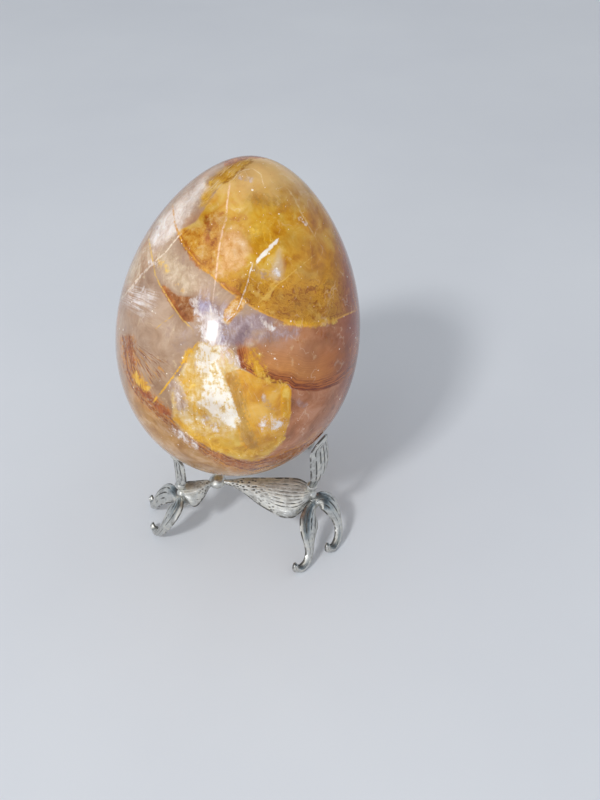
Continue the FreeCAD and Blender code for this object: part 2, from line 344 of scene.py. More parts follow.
# %% Outlines of the plates and veils, in the photograph's pixels
PLATES = {
    "dome": [
        (246.6, 150), (227, 176), (207.6, 204), (196, 222), (178, 231), (181.6, 241), (191, 257), (201, 269),
        (214, 277), (224, 288), (237, 296), (251.5, 306), (262.6, 313), (275, 318), (288.9, 323), (305, 326),
        (321, 324), (337.7, 318), (352, 312), (366, 306), (366, 250), (350, 215), (330, 185), (300, 158), (272.6, 146),
    ],
    "crest_plate": [
        (254, 150), (240, 158), (224, 168), (209, 181), (201, 195), (200, 209), (207.6, 204), (214, 192),
        (233.6, 177.6), (248, 165), (258, 154),
    ],
    "rust_wedge": [
        (176.7, 231), (191.3, 228), (201, 226.4), (207.6, 215), (215.7, 210), (225.5, 211.8), (223.8, 223),
        (220.6, 237.8), (217.3, 254), (214, 275), (202.7, 270), (191.3, 257), (180, 241),
    ],
    "peach_window": [
        (221, 233), (235, 228), (246, 238), (250, 252), (244, 264), (232, 270), (222, 276), (216, 276), (219, 258),
    ],
    "gold_strip": [(238.5, 294), (246, 300), (243, 308), (236, 316), (228, 325), (221, 321), (224, 311), (231, 302)],
    "splinter": [
        (278.5, 238.5), (276.5, 243), (270, 250.5), (262, 258.5), (257, 263.5), (255, 261.5), (259, 256), (266, 248.5),
        (273, 241.5),
    ],
    # Painted glow round the glint below the splinter
    "glow_cone": [(279, 250), (273, 265), (271, 276), (276, 281), (282, 277), (284, 266)],
    "lower_gold": [
        (197.8, 342.5), (186.4, 358.8), (180, 374), (173.4, 381.6), (172, 391), (172.5, 414), (176, 424), (191, 436),
        (210.8, 448), (233, 457), (252, 461), (268, 455), (282.4, 441), (288, 424), (289.7, 395), (287.3, 384.8),
        (264.5, 378.3), (240, 368.5), (232, 350), (214, 342),
    ],
    "golden_plate": [
        (224, 374), (240, 369), (255, 375.5), (272, 382.5), (286, 384), (291.3, 389.7), (290.5, 415.7), (285.6, 432),
        (278, 444), (266, 452), (252, 452), (240, 444), (236.8, 412), (231, 392),
    ],
    "left_wedge": [
        (160.4, 283.4), (168.5, 288), (178.3, 296.4), (191.3, 296.4), (196, 306), (193, 322), (184, 321.5),
        (171.8, 306), (165.3, 294.7),
    ],
    "white_streak": [
        (203, 180), (208.5, 187.4), (199.4, 198), (189, 215.5), (177, 231.5), (164, 242), (155, 251), (150.5, 239),
        (159, 220), (172, 208), (186, 194),
    ],
    # The blaze: a white sheet, partly a painted glint off an inner cleavage
    "blaze": [
        (199, 344), (222, 347), (217, 362), (223.8, 377), (231, 397), (239, 416), (239.8, 423), (235, 428.5),
        (226, 423), (216, 418), (206, 409), (198, 402), (203, 392), (201, 378), (196, 362),
    ],
    "tan_foot": [
        (110, 385), (131, 388), (147, 402), (164, 418), (184, 436), (205, 452), (224, 461), (252, 467), (285, 462),
        (310, 450), (330, 436), (330, 490), (110, 490),
    ],
}


# How far points lie inside a closed outline: positive inside, negative outside
def distance_inside(points, outline):
    corners = np.array(outline, float)
    nearest = np.full(len(points), 1e9)
    inside = np.zeros(len(points), bool)
    for start, end in zip(corners, np.roll(corners, -1, axis=0)):
        edge = end - start
        offset = points - start
        share = np.clip(offset @ edge / (edge @ edge), 0, 1)
        nearest = np.minimum(nearest, np.linalg.norm(offset - share[:, None] * edge, axis=1))
        crosses = (start[1] > points[:, 1]) != (end[1] > points[:, 1])
        rise = edge[1] if edge[1] != 0 else 1.0
        inside ^= crosses & (offset[:, 0] < edge[0] * offset[:, 1] / rise)
    return np.where(inside, nearest, -nearest)


for name, outline in PLATES.items():
    write_attribute(egg.data, name, distance_inside(drawing, outline))
print(len(PLATES), "plates drawn")

# %% Lines of the healed cracks, bands and hems, in the photograph's pixels
CRACKS = {
    "pale_seam": [(229.5, 187), (227.5, 199), (226.3, 218), (222, 233), (219, 249), (217, 265), (215.7, 278.5)],
    "seam_tail": [(215.7, 280), (214, 291), (212.3, 304)],
    "dome_edge": [
        (178, 232), (184, 246), (198, 263), (214, 277.5), (227, 289.9), (240, 298.5), (252, 307), (268, 315),
        (289, 323), (311.7, 326.3), (334.4, 320), (352, 312),
    ],
    "crest_line": [(252, 161), (243, 168), (233, 176), (223, 183)],
    "left_seam": [
        (149, 241), (151, 252), (153.5, 263), (155.5, 276), (163.7, 291.5), (171.8, 304.5), (182, 319), (191, 328),
    ],
    "milk_and_glare_crack": [(179, 236), (167, 250.8), (153, 263.5), (137.6, 279), (123, 297)],
    "low_milk_crack": [(158, 262), (147, 268), (136, 283), (130, 291)],
    "streak_line": [(173, 208), (174, 218), (177, 231)],
    "bead_crack": [(252, 266), (250.5, 271), (248.2, 280), (245, 291), (240, 303), (235.5, 313), (228, 320)],
    "low_seam": [(196, 345), (188, 355), (181, 366), (170, 381), (155, 400)],
    "rust_band": [
        (126.5, 338), (128.5, 354), (131, 369), (137, 384), (146, 397.5), (159, 409), (174, 422), (191.3, 436),
        (210, 450), (228, 461), (250, 467), (276, 461), (300, 451), (326, 434),
    ],
    "hem": [
        (236.8, 352), (240, 367), (256.4, 376.7), (272.6, 383), (287, 385), (293, 389.5), (305, 390.8), (318, 391),
        (330, 387.5), (338, 384), (347, 378), (354, 371.5), (366, 360),
    ],
    "crest_arc": [(235, 177.6), (239, 172.5), (245, 169.5), (253, 168.7), (261, 174.4), (262.9, 182)],
    "right_arc": [(289, 190.7), (294, 197), (302, 214), (311.7, 231)],
    "right_ray": [(312, 257), (297, 269), (281, 281.7), (268, 294), (257, 305)],
    "low_yellow": [(172, 316), (165, 321.5), (158.5, 326.5)],
}
CRACK_END_FADE = 5.0
RUN_ON = 9.0


def unit(rows):
    return rows / np.linalg.norm(rows, axis=-1, keepdims=True)


# The signed distance beside a line, and a share that fades out beyond its ends. The first and last steps of the line
# run on straight, RUN_ON times their own length, so that the distance stays smooth there
def distance_beside(points, line):
    corners = np.array(line, float)
    nearest = np.full(len(points), 1e9)
    signed = np.zeros(len(points))
    last = len(corners) - 2
    for index, (start, end) in enumerate(zip(corners[:-1], corners[1:])):
        edge = end - start
        offset = points - start
        along = offset @ edge / (edge @ edge)
        low = -RUN_ON if index == 0 else 0.0
        high = RUN_ON if index == last else 1.0
        foot = start + np.clip(along, low, high)[:, None] * edge
        away = np.linalg.norm(points - foot, axis=1)
        side = np.sign(edge[0] * offset[:, 1] - edge[1] * offset[:, 0])
        closer = away < nearest
        nearest = np.where(closer, away, nearest)
        signed = np.where(closer, side * away, signed)
    beyond_start = (points - corners[0]) @ unit(corners[0] - corners[1])
    beyond_end = (points - corners[-1]) @ unit(corners[-1] - corners[-2])
    beyond = np.maximum(np.maximum(beyond_start, beyond_end), 0)
    return signed, np.clip(1 - beyond / CRACK_END_FADE, 0, 1)


for name, line in CRACKS.items():
    beside, fade = distance_beside(drawing, line)
    write_attribute(egg.data, name, beside)
    write_attribute(egg.data, f"{name}_fade", fade)
print(len(CRACKS), "lines drawn")

# %% [markdown]
# ## Clouds and fans
#
# Some colour has no edge: milky veils, haze, rusty smoke. Each cloud is a list of soft brush strokes. Where the stone
# shows hairs that spread from one place, a fan stores the turn round that place and the reach from it, so that the
# paint can draw fibres along the fan.

# %% Brush strokes: points of the stroke, its half width in pixels and its strength
CLOUDS = {
    "cream": [
        ([(165, 260), (186, 286)], 16, 0.8), ([(128, 276), (150, 250)], 12, 0.7), ([(190, 205), (204, 192)], 10, 0.5),
        ([(240, 185), (266, 176), (292, 184)], 12, 0.5), ([(176, 330), (168, 342)], 12, 0.35),
        ([(178, 430), (200, 450)], 10, 0.5),
    ],
    "haze": [
        ([(230, 322), (246, 325), (264, 320)], 12, 1.0), ([(226, 340), (246, 336)], 10, 0.9),
        ([(262, 336), (292, 332)], 10, 0.7), ([(200, 303), (224, 311)], 11, 0.8), ([(356, 300), (358, 350)], 4, 0.5),
        ([(192, 330), (178, 346)], 15, 0.4), ([(206, 288), (204, 298)], 9, 0.45), ([(177, 386), (181, 404)], 7, 0.9),
        ([(255, 270), (264, 275)], 5, 0.9), ([(262, 396), (274, 412)], 8, 0.5), ([(298, 402), (304, 405)], 5, 0.6),
        ([(158, 228), (160, 233)], 3.5, 0.9),
    ],
    "dusk": [
        ([(238, 341), (242, 335), (246, 330)], 7, 0.9), ([(157.5, 227), (159.5, 232)], 2.5, 0.8),
        ([(237, 177), (256, 178)], 4, 0.5), ([(348, 330), (356, 320)], 5, 0.6), ([(250, 356), (246, 364)], 4, 0.4),
    ],
    "rust": [
        ([(344, 240), (350, 270), (352, 305)], 10, 0.8), ([(226, 163), (250, 156), (264, 156)], 3.5, 1.0),
        ([(180, 238), (189, 252), (200, 266)], 4, 0.9), ([(206, 217), (209, 228), (207, 240)], 4, 0.9),
        ([(222, 284), (238, 293)], 4, 0.7), ([(241, 353), (243, 362)], 4, 0.9),
        ([(272, 462), (300, 451), (326, 433)], 4, 0.9), ([(127, 338), (129, 349), (133, 362)], 2.6, 0.9),
        ([(145, 391), (149, 397)], 4, 1.0), ([(163, 408), (168, 413)], 4, 0.9),
        ([(163, 288), (172, 303), (184, 319)], 3, 1.0), ([(232, 219), (245, 218)], 4.0, 0.55),
        ([(212, 453), (234, 464), (252, 466)], 3.5, 0.8), ([(300, 340), (340, 338)], 9, 0.35),
    ],
    "sunny": [
        ([(250, 232), (264, 240), (272, 252)], 12, 0.5), ([(286, 322), (311, 325), (334, 320)], 3.4, 1.0),
        ([(286, 391), (286, 414)], 5, 1.0), ([(135, 376), (141, 382), (146, 388)], 4.5, 1.0),
        ([(190, 351), (184, 362)], 4, 1.0), ([(252, 356), (260, 372)], 9, 0.95), ([(181, 378), (190, 386)], 6, 0.7),
        ([(194, 408), (200, 413)], 4, 0.8),
        ([(176, 419), (191, 434), (211, 446), (240, 454), (264, 450), (281, 438)], 4, 1.0),
        ([(209, 184), (203, 198)], 4, 0.7), ([(160, 262), (166, 270)], 5, 0.5), ([(176, 284), (182, 291)], 4, 0.4),
        ([(214, 368), (222, 384)], 5, 0.5), ([(268, 380), (286, 386)], 4, 0.8), ([(284, 300), (300, 312)], 6, 0.4),
    ],
    "olive": [([(230, 378), (238, 398), (243, 424), (252, 446)], 8, 1.0), ([(256, 198), (280, 206)], 9, 0.6)],
    "mauve": [
        ([(176, 385), (181, 406)], 7, 1.0), ([(205, 416), (213, 425)], 4, 0.6), ([(226, 350), (237, 363)], 6, 0.7),
        ([(224, 392), (229, 404)], 3, 0.5), ([(196, 362), (192, 372)], 3, 0.4), ([(254, 269), (266, 276)], 5, 0.7),
        ([(262, 398), (272, 410)], 5, 0.5), ([(240, 178), (252, 180)], 3.5, 0.5),
    ],
    # Deep red rust; the strokes along the right rim are partly painted shade
    "ember_and_rim_shade": [
        ([(345, 226), (353, 262), (354, 300)], 10, 1.0), ([(352, 345), (346, 368)], 8, 0.7),
        ([(322, 334), (346, 342)], 8, 0.4), ([(318, 400), (336, 396)], 9, 0.35), ([(300, 290), (330, 296)], 5, 0.35),
        ([(140, 388), (152, 402), (166, 414)], 4, 0.7), ([(246, 290), (262, 298)], 4, 0.4),
        ([(330, 365), (350, 360)], 4, 0.6),
    ],
    # Painted glow: a violet-white glare round the spot lamp's bright spot
    "painted_highlight_glow": [([(204, 308), (211, 319), (218, 338)], 10, 1.0), ([(222, 318), (236, 312)], 5, 0.4)],
    # Milky veils; the broad stroke at the lamp's bright spot is painted glare, the small one below the splinter a
    # painted glint
    "milk_and_glare": [
        ([(194, 300), (197, 312)], 4.5, 0.8), ([(274, 270), (279, 275)], 3, 0.8), ([(300, 218), (306, 224)], 2.5, 0.5),
        ([(209, 318), (213, 338)], 12, 1.0), ([(262, 320), (268, 326), (272, 329)], 3.5, 0.9),
        ([(265, 424), (280, 424)], 9, 0.6), ([(172, 430), (184, 436), (196, 446)], 5, 0.6),
        ([(193, 299), (196, 310)], 4, 0.7), ([(143, 289), (145, 291)], 2.5, 0.8), ([(222, 349), (238, 362)], 7, 0.45),
        ([(151, 262), (155, 264)], 2.6, 1.0), ([(223, 340), (226, 346)], 5, 0.6), ([(176, 392), (180, 400)], 4, 0.5),
        ([(205, 420), (216, 428)], 5, 0.6), ([(156, 240), (168, 228)], 4, 0.4),
    ],
    # White flecks, partly painted glints; the strongest stroke is the glint below the splinter
    "flecks_and_glints": [
        ([(270, 181), (277, 190)], 2.6, 1.6), ([(286, 201), (291, 207)], 2.4, 1.6),
        ([(299, 214), (310, 227)], 3.0, 1.6), ([(290, 415), (304, 430)], 2.2, 1.6),
        ([(266, 347), (274, 357)], 3.0, 1.4), ([(276, 272), (277, 276)], 3.5, 2.0), ([(180, 241), (200, 266)], 4, 0.9),
        ([(262, 418), (282, 430)], 8, 0.8), ([(172, 430), (196, 446)], 5, 0.8),
        ([(252, 266), (245, 291), (232, 317)], 5, 1.0), ([(176, 380), (186, 410), (206, 432)], 10, 0.8),
        ([(205, 350), (236, 426)], 12, 0.8), ([(126, 290), (160, 308)], 12, 0.7), ([(258, 226), (282, 250)], 22, 0.35),
        ([(226, 346), (240, 366)], 8, 0.7), ([(230, 312), (240, 302)], 8, 0.8),
    ],
}


def brush(points, strokes):
    cover = np.zeros(len(points))
    for line, half_width, strength in strokes:
        corners = np.array(line, float)
        nearest = np.full(len(points), 1e9)
        for start, end in zip(corners[:-1], corners[1:]):
            edge = end - start
            share = np.clip((points - start) @ edge / (edge @ edge), 0, 1)
            nearest = np.minimum(nearest, np.linalg.norm(points - start - share[:, None] * edge, axis=1))
        cover = np.maximum(cover, strength * np.exp(-((nearest / half_width) ** 2)))
    return cover


for name, strokes in CLOUDS.items():
    write_attribute(egg.data, f"cloud_{name}", brush(drawing, strokes))
for axis, name in enumerate(["drawing_across", "drawing_down"]):
    write_attribute(egg.data, name, drawing[:, axis])
print(len(CLOUDS), "clouds brushed")

# %% Fans: the place they spread from, their first and last turn in degrees, and their near and far reach
FANS = {
    "feather": ((60, 268), (13, 31), (68, 106)),
    "smoke": ((122, 332), (34, 80), (8, 66)),
    "pink_veil": ((212, 330), (42, 84), (14, 42)),
    "plate_veil": ((226, 340), (58, 84), (34, 112)),
    "right_veil": ((262, 388), (14, 46), (28, 62)),
    "sheet": ((196, 286), (30, 120), (40, 190)),
}

# How far outside and inside its limits a fan fades: at its sides in degrees, at its near and far reach in pixels
SIDE_OUT, SIDE_IN, NEAR_OUT, NEAR_IN, FAR_OUT, FAR_IN = 3, 5, 4, 10, 4, 16

for name, (centre, (first_turn, last_turn), (near, far)) in FANS.items():
    offset = drawing - np.array(centre, float)
    turn = np.degrees(np.arctan2(offset[:, 1], offset[:, 0]))
    reach = np.linalg.norm(offset, axis=1)
    cover = smooth_step(turn, first_turn - SIDE_OUT, first_turn + SIDE_IN)
    cover *= 1 - smooth_step(turn, last_turn - SIDE_IN, last_turn + SIDE_OUT)
    cover *= smooth_step(reach, near - NEAR_OUT, near + NEAR_IN)
    cover *= 1 - smooth_step(reach, far - FAR_IN, far + FAR_OUT)
    write_attribute(egg.data, f"{name}_cover", cover)
    write_attribute(egg.data, f"{name}_turn", np.radians(turn) * (near + far) / 2)
    write_attribute(egg.data, f"{name}_reach", reach)
print(len(FANS), "fans spread")

# %% [markdown]
# ## The stone's finish
#
# The paint is built in layers from the back of the stone to the front, each with noise in its edge and in its
# colour. All noise reads object coordinates in millimetres, so it runs through the stone in one piece. A little
# light under the surface softens the paint, and a smooth clear surface gives the polish.

# %% Start the stone's material
start_tree(stone)
place = place_in_mm()
fine_noise = noise(place, 1.5, 4.0, 0.65)
edge_noise = calculate("SUBTRACT", noise(place, 0.55, 5.0, 0.62), 0.5)
fine_edge = calculate("SUBTRACT", fine_noise, 0.5)
slow_noise = noise(place, 0.09, 3.0, 0.5)
cloudy_noise = noise(place, 0.28, 5.0, 0.62, 0.6)
mottled_noise = noise(place, 0.62, 6.0, 0.70, 0.25)
streaky_noise = noise(calculate_vector("MULTIPLY", place, (1.3, 0.9, 0.55)), 0.55, 7.0, 0.72, 0.8)
down = attribute("drawing_down")
across = attribute("drawing_across")
FINE_SHARE, CRACK_CORE = 0.7, 0.35
print("stone noise ready")


# Noise in a distance or a place, so that what follows it has a ragged edge
def roughen(value, ragged):
    return calculate("MULTIPLY_ADD", edge_noise, ragged, value)


# A soft edge across the drawing: none at the first value, full at the second, and ragged between
def rough_step(value, ragged, low, high):
    return soft_step(roughen(value, ragged), low, high)


# Thin lines where a noise passes its middle: full within the core, none past the half width
def thin_lines(value, half_width, core):
    return soft_step(calculate("ABSOLUTE", calculate("SUBTRACT", value, 0.5)), half_width, core)


# A plate's cover: its distance with a ragged edge, turned to a soft step
def plate_cover(name, ragged, soft, strength=1.0):
    distance = calculate("MULTIPLY_ADD", fine_edge, ragged * FINE_SHARE, roughen(attribute(name), ragged))
    return times(soft_step(distance, -soft, soft), strength)


# A cloud's cover: the brushed strength, torn by streaky noise so that no stroke shows its own outline
def cloud_cover(name, strength, tear):
    fine_tear = times(fine_edge, tear * FINE_SHARE)
    torn = calculate("MULTIPLY_ADD", calculate("SUBTRACT", streaky_noise, 0.5), tear, fine_tear)
    brushed = attribute(f"cloud_{name}")
    cover = calculate("MULTIPLY_ADD", torn, soft_step(brushed, 0.02, 0.35), brushed)
    return times(soft_step(cover, 0.22, 0.95), strength)


# A crack's cover: one over its line, none past its half width, and worn through where the noise is low
def crack_cover(name, half_width, ragged, strength, shift=0.0):
    beside = calculate("ADD", roughen(attribute(name), ragged), shift)
    line = soft_step(calculate("ABSOLUTE", beside), half_width, half_width * CRACK_CORE)
    return times(line, soft_step(fine_noise, 0.34, 0.58), attribute(f"{name}_fade"), strength)


# Fibres: noise that changes fast beside a line and slowly along it
def fibres(beside, along, fineness, stretch, waver):
    return noise(combine(times(roughen(beside, waver), fineness), times(along, stretch), 0.0), 1.0, 4.0, 0.68)


# A fan's cover: hairs that run out from its place, where their noise lies past low on the way to high
def fan_cover(name, fineness, low, high, strength):
    hairs = fibres(attribute(f"{name}_turn"), attribute(f"{name}_reach"), fineness, 0.05, 2.0)
    return times(soft_step(hairs, low, high), attribute(f"{name}_cover"), strength)


# %% [markdown]
# The layers come in groups. Each row of a group names the drawing it follows, says how ragged, soft and strong it is,
# and gives its pigments. A plate reads its ramp at one of the noises, and a cloud has a dark, a middle and a light
# tone in streaks.

# %% Helpers that lay a group of layers
def streaked(dark, middle, light):
    return pigment_ramp(streaky_noise, (0.36, *dark), (0.50, *middle), (0.64, *light))


def lay_clouds(*rows):
    for name, strength, tear, *tones in rows:
        lay(streaked(*tones), cloud_cover(name, strength, tear))


def lay_plates(*rows):
    for name, ragged, soft, strength, pattern, *stops in rows:
        lay(pigment_ramp(pattern, *stops), plate_cover(name, ragged, soft, strength))


def lay_fans(*rows):
    for name, fineness, low, high, strength, colour in rows:
        lay(colour, fan_cover(name, fineness, low, high, strength))


# %% The clear quartz behind everything
left_quartz = pigment_ramp(
    cloudy_noise, (0.30, 162, 130, 104), (0.45, 179, 148, 122), (0.58, 190, 162, 138), (0.72, 172, 142, 126),
)
right_quartz = pigment_ramp(cloudy_noise, (0.30, 148, 88, 48), (0.48, 178, 112, 70), (0.64, 194, 134, 98))
slanted = calculate("MULTIPLY_ADD", down, 0.35, across)
paint = paint_over(left_quartz, right_quartz, rough_step(slanted, 60.0, 350, 430))
lay((196, 140, 92), times(soft_step(slow_noise, 0.52, 0.72), 0.6))
print("quartz painted")

# %% Coloured clouds deep in the stone
lay_clouds(
    ("cream", 0.85, 1.4, (188, 162, 128), (208, 184, 154), (224, 204, 178)),
    ("haze", 0.9, 1.2, (134, 108, 114), (166, 144, 147), (196, 180, 186)),
    ("dusk", 0.8, 1.6, (92, 66, 70), (120, 94, 100), (146, 120, 124)),
)
print("deep clouds painted")

# %% The tan foot, the rusty bands round the blunt end, and painted shade at the lower left
# Painted shade: a broad multiply layer darkens the stone's lower left
lay((236, 226, 208), times(soft_step(down, 325, 400), soft_step(across, 250, 190)), "MULTIPLY")
lay_plates((
    "tan_foot", 9.0, 9.0, 0.9, cloudy_noise,
    (0.30, 160, 104, 10), (0.45, 182, 128, 44), (0.58, 200, 154, 98), (0.72, 212, 176, 138),
))
band_along = calculate("SUBTRACT", across, down)
band = pigment_ramp(
    fibres(attribute("rust_band"), band_along, 0.42, 0.03, 5.0),
    (0.32, 104, 38, 0), (0.41, 160, 84, 0), (0.48, 210, 138, 0), (0.56, 186, 108, 0), (0.68, 116, 46, 0),
)
lay(band, crack_cover("rust_band", 11.0, 7.0, 1.0))
for shift in (-3.4, 0.6, 3.0):
    lay((104, 36, 0), crack_cover("rust_band", 1.1, 3.0, 0.8, shift))
lay_fans(("smoke", 0.8, 0.50, 0.62, 0.9, (132, 64, 18)), ("smoke", 0.55, 0.47, 0.36, 0.8, (206, 146, 60)))
print("bands painted")

# %% The golden dome, with its milky crown and orange side
gold = pigment_ramp(
    cloudy_noise, (0.28, 178, 112, 6), (0.42, 206, 148, 26), (0.55, 214, 168, 58), (0.70, 228, 194, 112),
)
deep_gold = pigment_ramp(cloudy_noise, (0.32, 172, 104, 0), (0.50, 206, 142, 4), (0.68, 220, 170, 60))
gold = paint_over(gold, deep_gold, rough_step(across, 50.0, 270, 325))
gold = paint_over(gold, (222, 184, 124), times(rough_step(down, 46.0, 216, 176), 0.85))
lay(gold, plate_cover("dome", 2.5, 1.2, 0.97))
print("dome painted")

# %% The dome's low part, full of curled hairs, and painted shade on the right rim
curl_place = calculate_vector("MULTIPLY_ADD", noise(place, 0.22, 3.0, 0.6, output=1), (5.0, 5.0, 5.0), place)
curl_fibres = fibres(attribute("dome_edge"), across, 0.20, 0.035, 16.0)
curls = calculate("MULTIPLY_ADD", curl_fibres, 0.4, times(noise(curl_place, 0.55, 6.0, 0.72, 1.6), 0.6))
curl_colour = pigment_ramp(
    curls, (0.36, 138, 72, 0), (0.44, 178, 110, 2), (0.50, 212, 156, 36), (0.56, 184, 118, 6), (0.66, 152, 86, 0),
)
in_dome = plate_cover("dome", 2.5, 1.2)
low_dome = times(rough_step(down, 24.0, 262, 292), in_dome)
lay(curl_colour, times(low_dome, 0.9))
blotches = noise(curl_place, 0.20, 5.0, 0.65, 1.0)
lay((128, 70, 0), times(soft_step(blotches, 0.47, 0.36), low_dome, 0.7))
lay((236, 194, 96), times(soft_step(blotches, 0.56, 0.70), low_dome, 0.7))
# Painted shade: a dark rust band along the stone's right rim
lay((138, 46, 2), times(rough_step(across, 14.0, 330, 354), 0.85))
print("curls painted")

# %% The wedges and windows in the middle
crest = pigment_ramp(cloudy_noise, (0.30, 186, 122, 20), (0.48, 214, 164, 50), (0.66, 226, 188, 104))
crest_hairs = fibres(calculate("ADD", across, down), band_along, 0.40, 0.05, 6.0)
crest = paint_over(crest, (232, 208, 166), times(soft_step(crest_hairs, 0.53, 0.62), 0.7))
crest = paint_over(crest, (136, 76, 8), times(soft_step(crest_hairs, 0.45, 0.37), 0.7))
lay(crest, plate_cover("crest_plate", 7.0, 3.5, 0.92))
lay_plates(
    ("rust_wedge", 5.0, 1.8, 0.9, mottled_noise,
     (0.32, 150, 74, 10), (0.44, 196, 130, 34), (0.54, 212, 160, 70), (0.66, 224, 186, 130)),
    ("peach_window", 18.0, 6.0, 0.85, mottled_noise,
     (0.35, 204, 142, 72), (0.5, 229, 180, 120), (0.65, 240, 206, 166)),
    ("left_wedge", 4.0, 1.5, 0.92, mottled_noise,
     (0.34, 110, 48, 4), (0.48, 158, 92, 26), (0.60, 188, 138, 92), (0.70, 214, 180, 150)),
    ("gold_strip", 5.0, 1.6, 0.9, mottled_noise,
     (0.36, 176, 108, 30), (0.48, 220, 160, 60), (0.60, 240, 214, 176)),
)
print("wedges painted")

# %% The gold low in the stone
sheet_hairs = fibres(attribute("sheet_turn"), attribute("sheet_reach"), 0.34, 0.045, 6.0)
sheet_noise = calculate("MULTIPLY_ADD", sheet_hairs, 0.28, times(mottled_noise, 0.72))
low_gold = pigment_ramp(
    sheet_noise, (0.30, 190, 130, 34), (0.42, 218, 168, 60), (0.53, 230, 198, 130), (0.66, 244, 230, 208),
)
foot_gold = pigment_ramp(cloudy_noise, (0.34, 178, 112, 4), (0.50, 214, 160, 24), (0.66, 226, 188, 84))
low_gold_cover = plate_cover("lower_gold", 5.0, 2.0, 0.95)
lay(low_gold, low_gold_cover)
lay(foot_gold, times(rough_step(down, 30.0, 424, 442), low_gold_cover))
lay_plates((
    "golden_plate", 0.8, 0.9, 0.92, cloudy_noise,
    (0.32, 204, 132, 4), (0.48, 224, 162, 32), (0.66, 234, 184, 84),
))
bright_edge = times(rough_step(across, 5.0, 279, 282), soft_step(down, 420, 412))
lay((236, 168, 0), times(bright_edge, plate_cover("golden_plate", 0.8, 0.9, 0.9)))
lay_clouds(
    ("mauve", 0.85, 2.0, (136, 104, 92), (176, 146, 132), (216, 198, 190)),
    ("olive", 0.6, 3.0, (138, 98, 30), (168, 128, 62), (204, 168, 104)),
)
lay_fans(("plate_veil", 0.7, 0.50, 0.66, 0.5, (214, 180, 120)))
print("low gold painted")

# %% The drape: a rusty sheet that hangs to a striped hem
hang = times(attribute("hem"), -1.0)
drape_cover = times(rough_step(hang, 2.0, -0.7, 1.0), rough_step(hang, 26.0, 50, 26), rough_step(down, 26.0, 336, 356))
drape = pigment_ramp(
    times(hang, 0.02), (0.0, 172, 80, 2), (0.10, 190, 104, 22), (0.30, 206, 138, 68), (0.75, 196, 134, 88),
)
drape = paint_over(drape, (176, 96, 26), soft_step(across, 296, 348))
lay(drape, times(drape_cover, 0.92))
threads = times(thin_lines(fibres(hang, across, 0.50, 0.022, 2.0), 0.070, 0.020), drape_cover)
lay((100, 30, 0), times(threads, calculate("MULTIPLY_ADD", rough_step(hang, 8.0, 15.0, 5.0), 0.78, 0.12)))
print("drape painted")

# %% Rust, sunshine and fibres nearer the surface
lay_clouds(
    ("rust", 0.9, 2.0, (124, 50, 2), (168, 90, 20), (202, 132, 60)),
    # Deep red rust, partly painted shade along the right rim
    ("ember_and_rim_shade", 0.85, 2.0, (104, 24, 0), (142, 52, 0), (180, 100, 24)),
    ("sunny", 0.9, 2.4, (200, 134, 0), (226, 168, 14), (242, 204, 96)),
)
lay_fans(("pink_veil", 0.9, 0.46, 0.60, 0.8, (232, 196, 178)), ("right_veil", 0.7, 0.56, 0.72, 0.6, (216, 190, 178)))
print("near clouds painted")

# %% White streaks, feathers, the blaze, and painted glare and glints
MILK_TONES = (212, 192, 180), (234, 222, 216), (252, 249, 250)
lay_plates((
    "white_streak", 8.0, 4.0, 0.85, streaky_noise,
    (0.34, 202, 180, 168), (0.48, 232, 216, 204), (0.62, 248, 242, 238),
))
lay_fans(("feather", 0.55, 0.38, 0.62, 0.85, streaked(*MILK_TONES)))
# Painted glow round the lamp's bright spot, then milky veils that also carry painted glare and a painted glint
lay_clouds(("painted_highlight_glow", 0.7, 1.6, (176, 172, 214), (206, 204, 240), (234, 232, 255)), ("milk_and_glare", 0.92, 2.4, *MILK_TONES))
# Painted glow: a pale cone round the glint below the splinter
lay((206, 200, 204), plate_cover("glow_cone", 5.0, 4.0, 0.38))
# The blaze: white veil, partly a painted glint off an inner cleavage
lay_plates(("blaze", 9.0, 1.4, 0.97, sheet_noise, (0.36, 188, 140, 84), (0.44, 236, 208, 146), (0.51, 253, 247, 236)))
print("whites painted")

# %% Healed cracks: their line, half width, raggedness, strength and pigment
CRACK_PAINTS = [
    ("pale_seam", 1.3, 2.0, 0.9, (244, 208, 176)), ("seam_tail", 0.8, 1.5, 0.7, (232, 206, 190)),
    ("dome_edge", 1.3, 1.8, 0.85, (228, 166, 54)), ("crest_line", 2.0, 8.0, 0.6, (140, 84, 16)),
    ("crest_arc", 0.8, 1.5, 0.8, (238, 214, 170)), ("right_arc", 0.9, 3.0, 0.6, (236, 208, 150)),
    ("left_seam", 1.1, 1.8, 0.9, (228, 186, 92)), ("milk_and_glare_crack", 1.1, 3.0, 0.85, (246, 228, 204)),
    ("low_milk_crack", 0.9, 3.0, 0.7, (236, 220, 206)), ("streak_line", 1.3, 2.0, 0.8, (206, 146, 60)),
    ("bead_crack", 1.0, 4.0, 0.85, (248, 238, 226)), ("low_seam", 1.4, 2.0, 1.0, (232, 176, 40)),
    ("right_ray", 0.9, 3.0, 0.6, (232, 194, 96)), ("low_yellow", 0.9, 2.0, 0.7, (220, 176, 66)),
]
for name, half_width, ragged, strength, colour in CRACK_PAINTS:
    lay(colour, crack_cover(name, half_width, ragged, strength))
lay((255, 248, 236), plate_cover("splinter", 4.5, 0.8))
print(len(CRACK_PAINTS), "cracks painted")

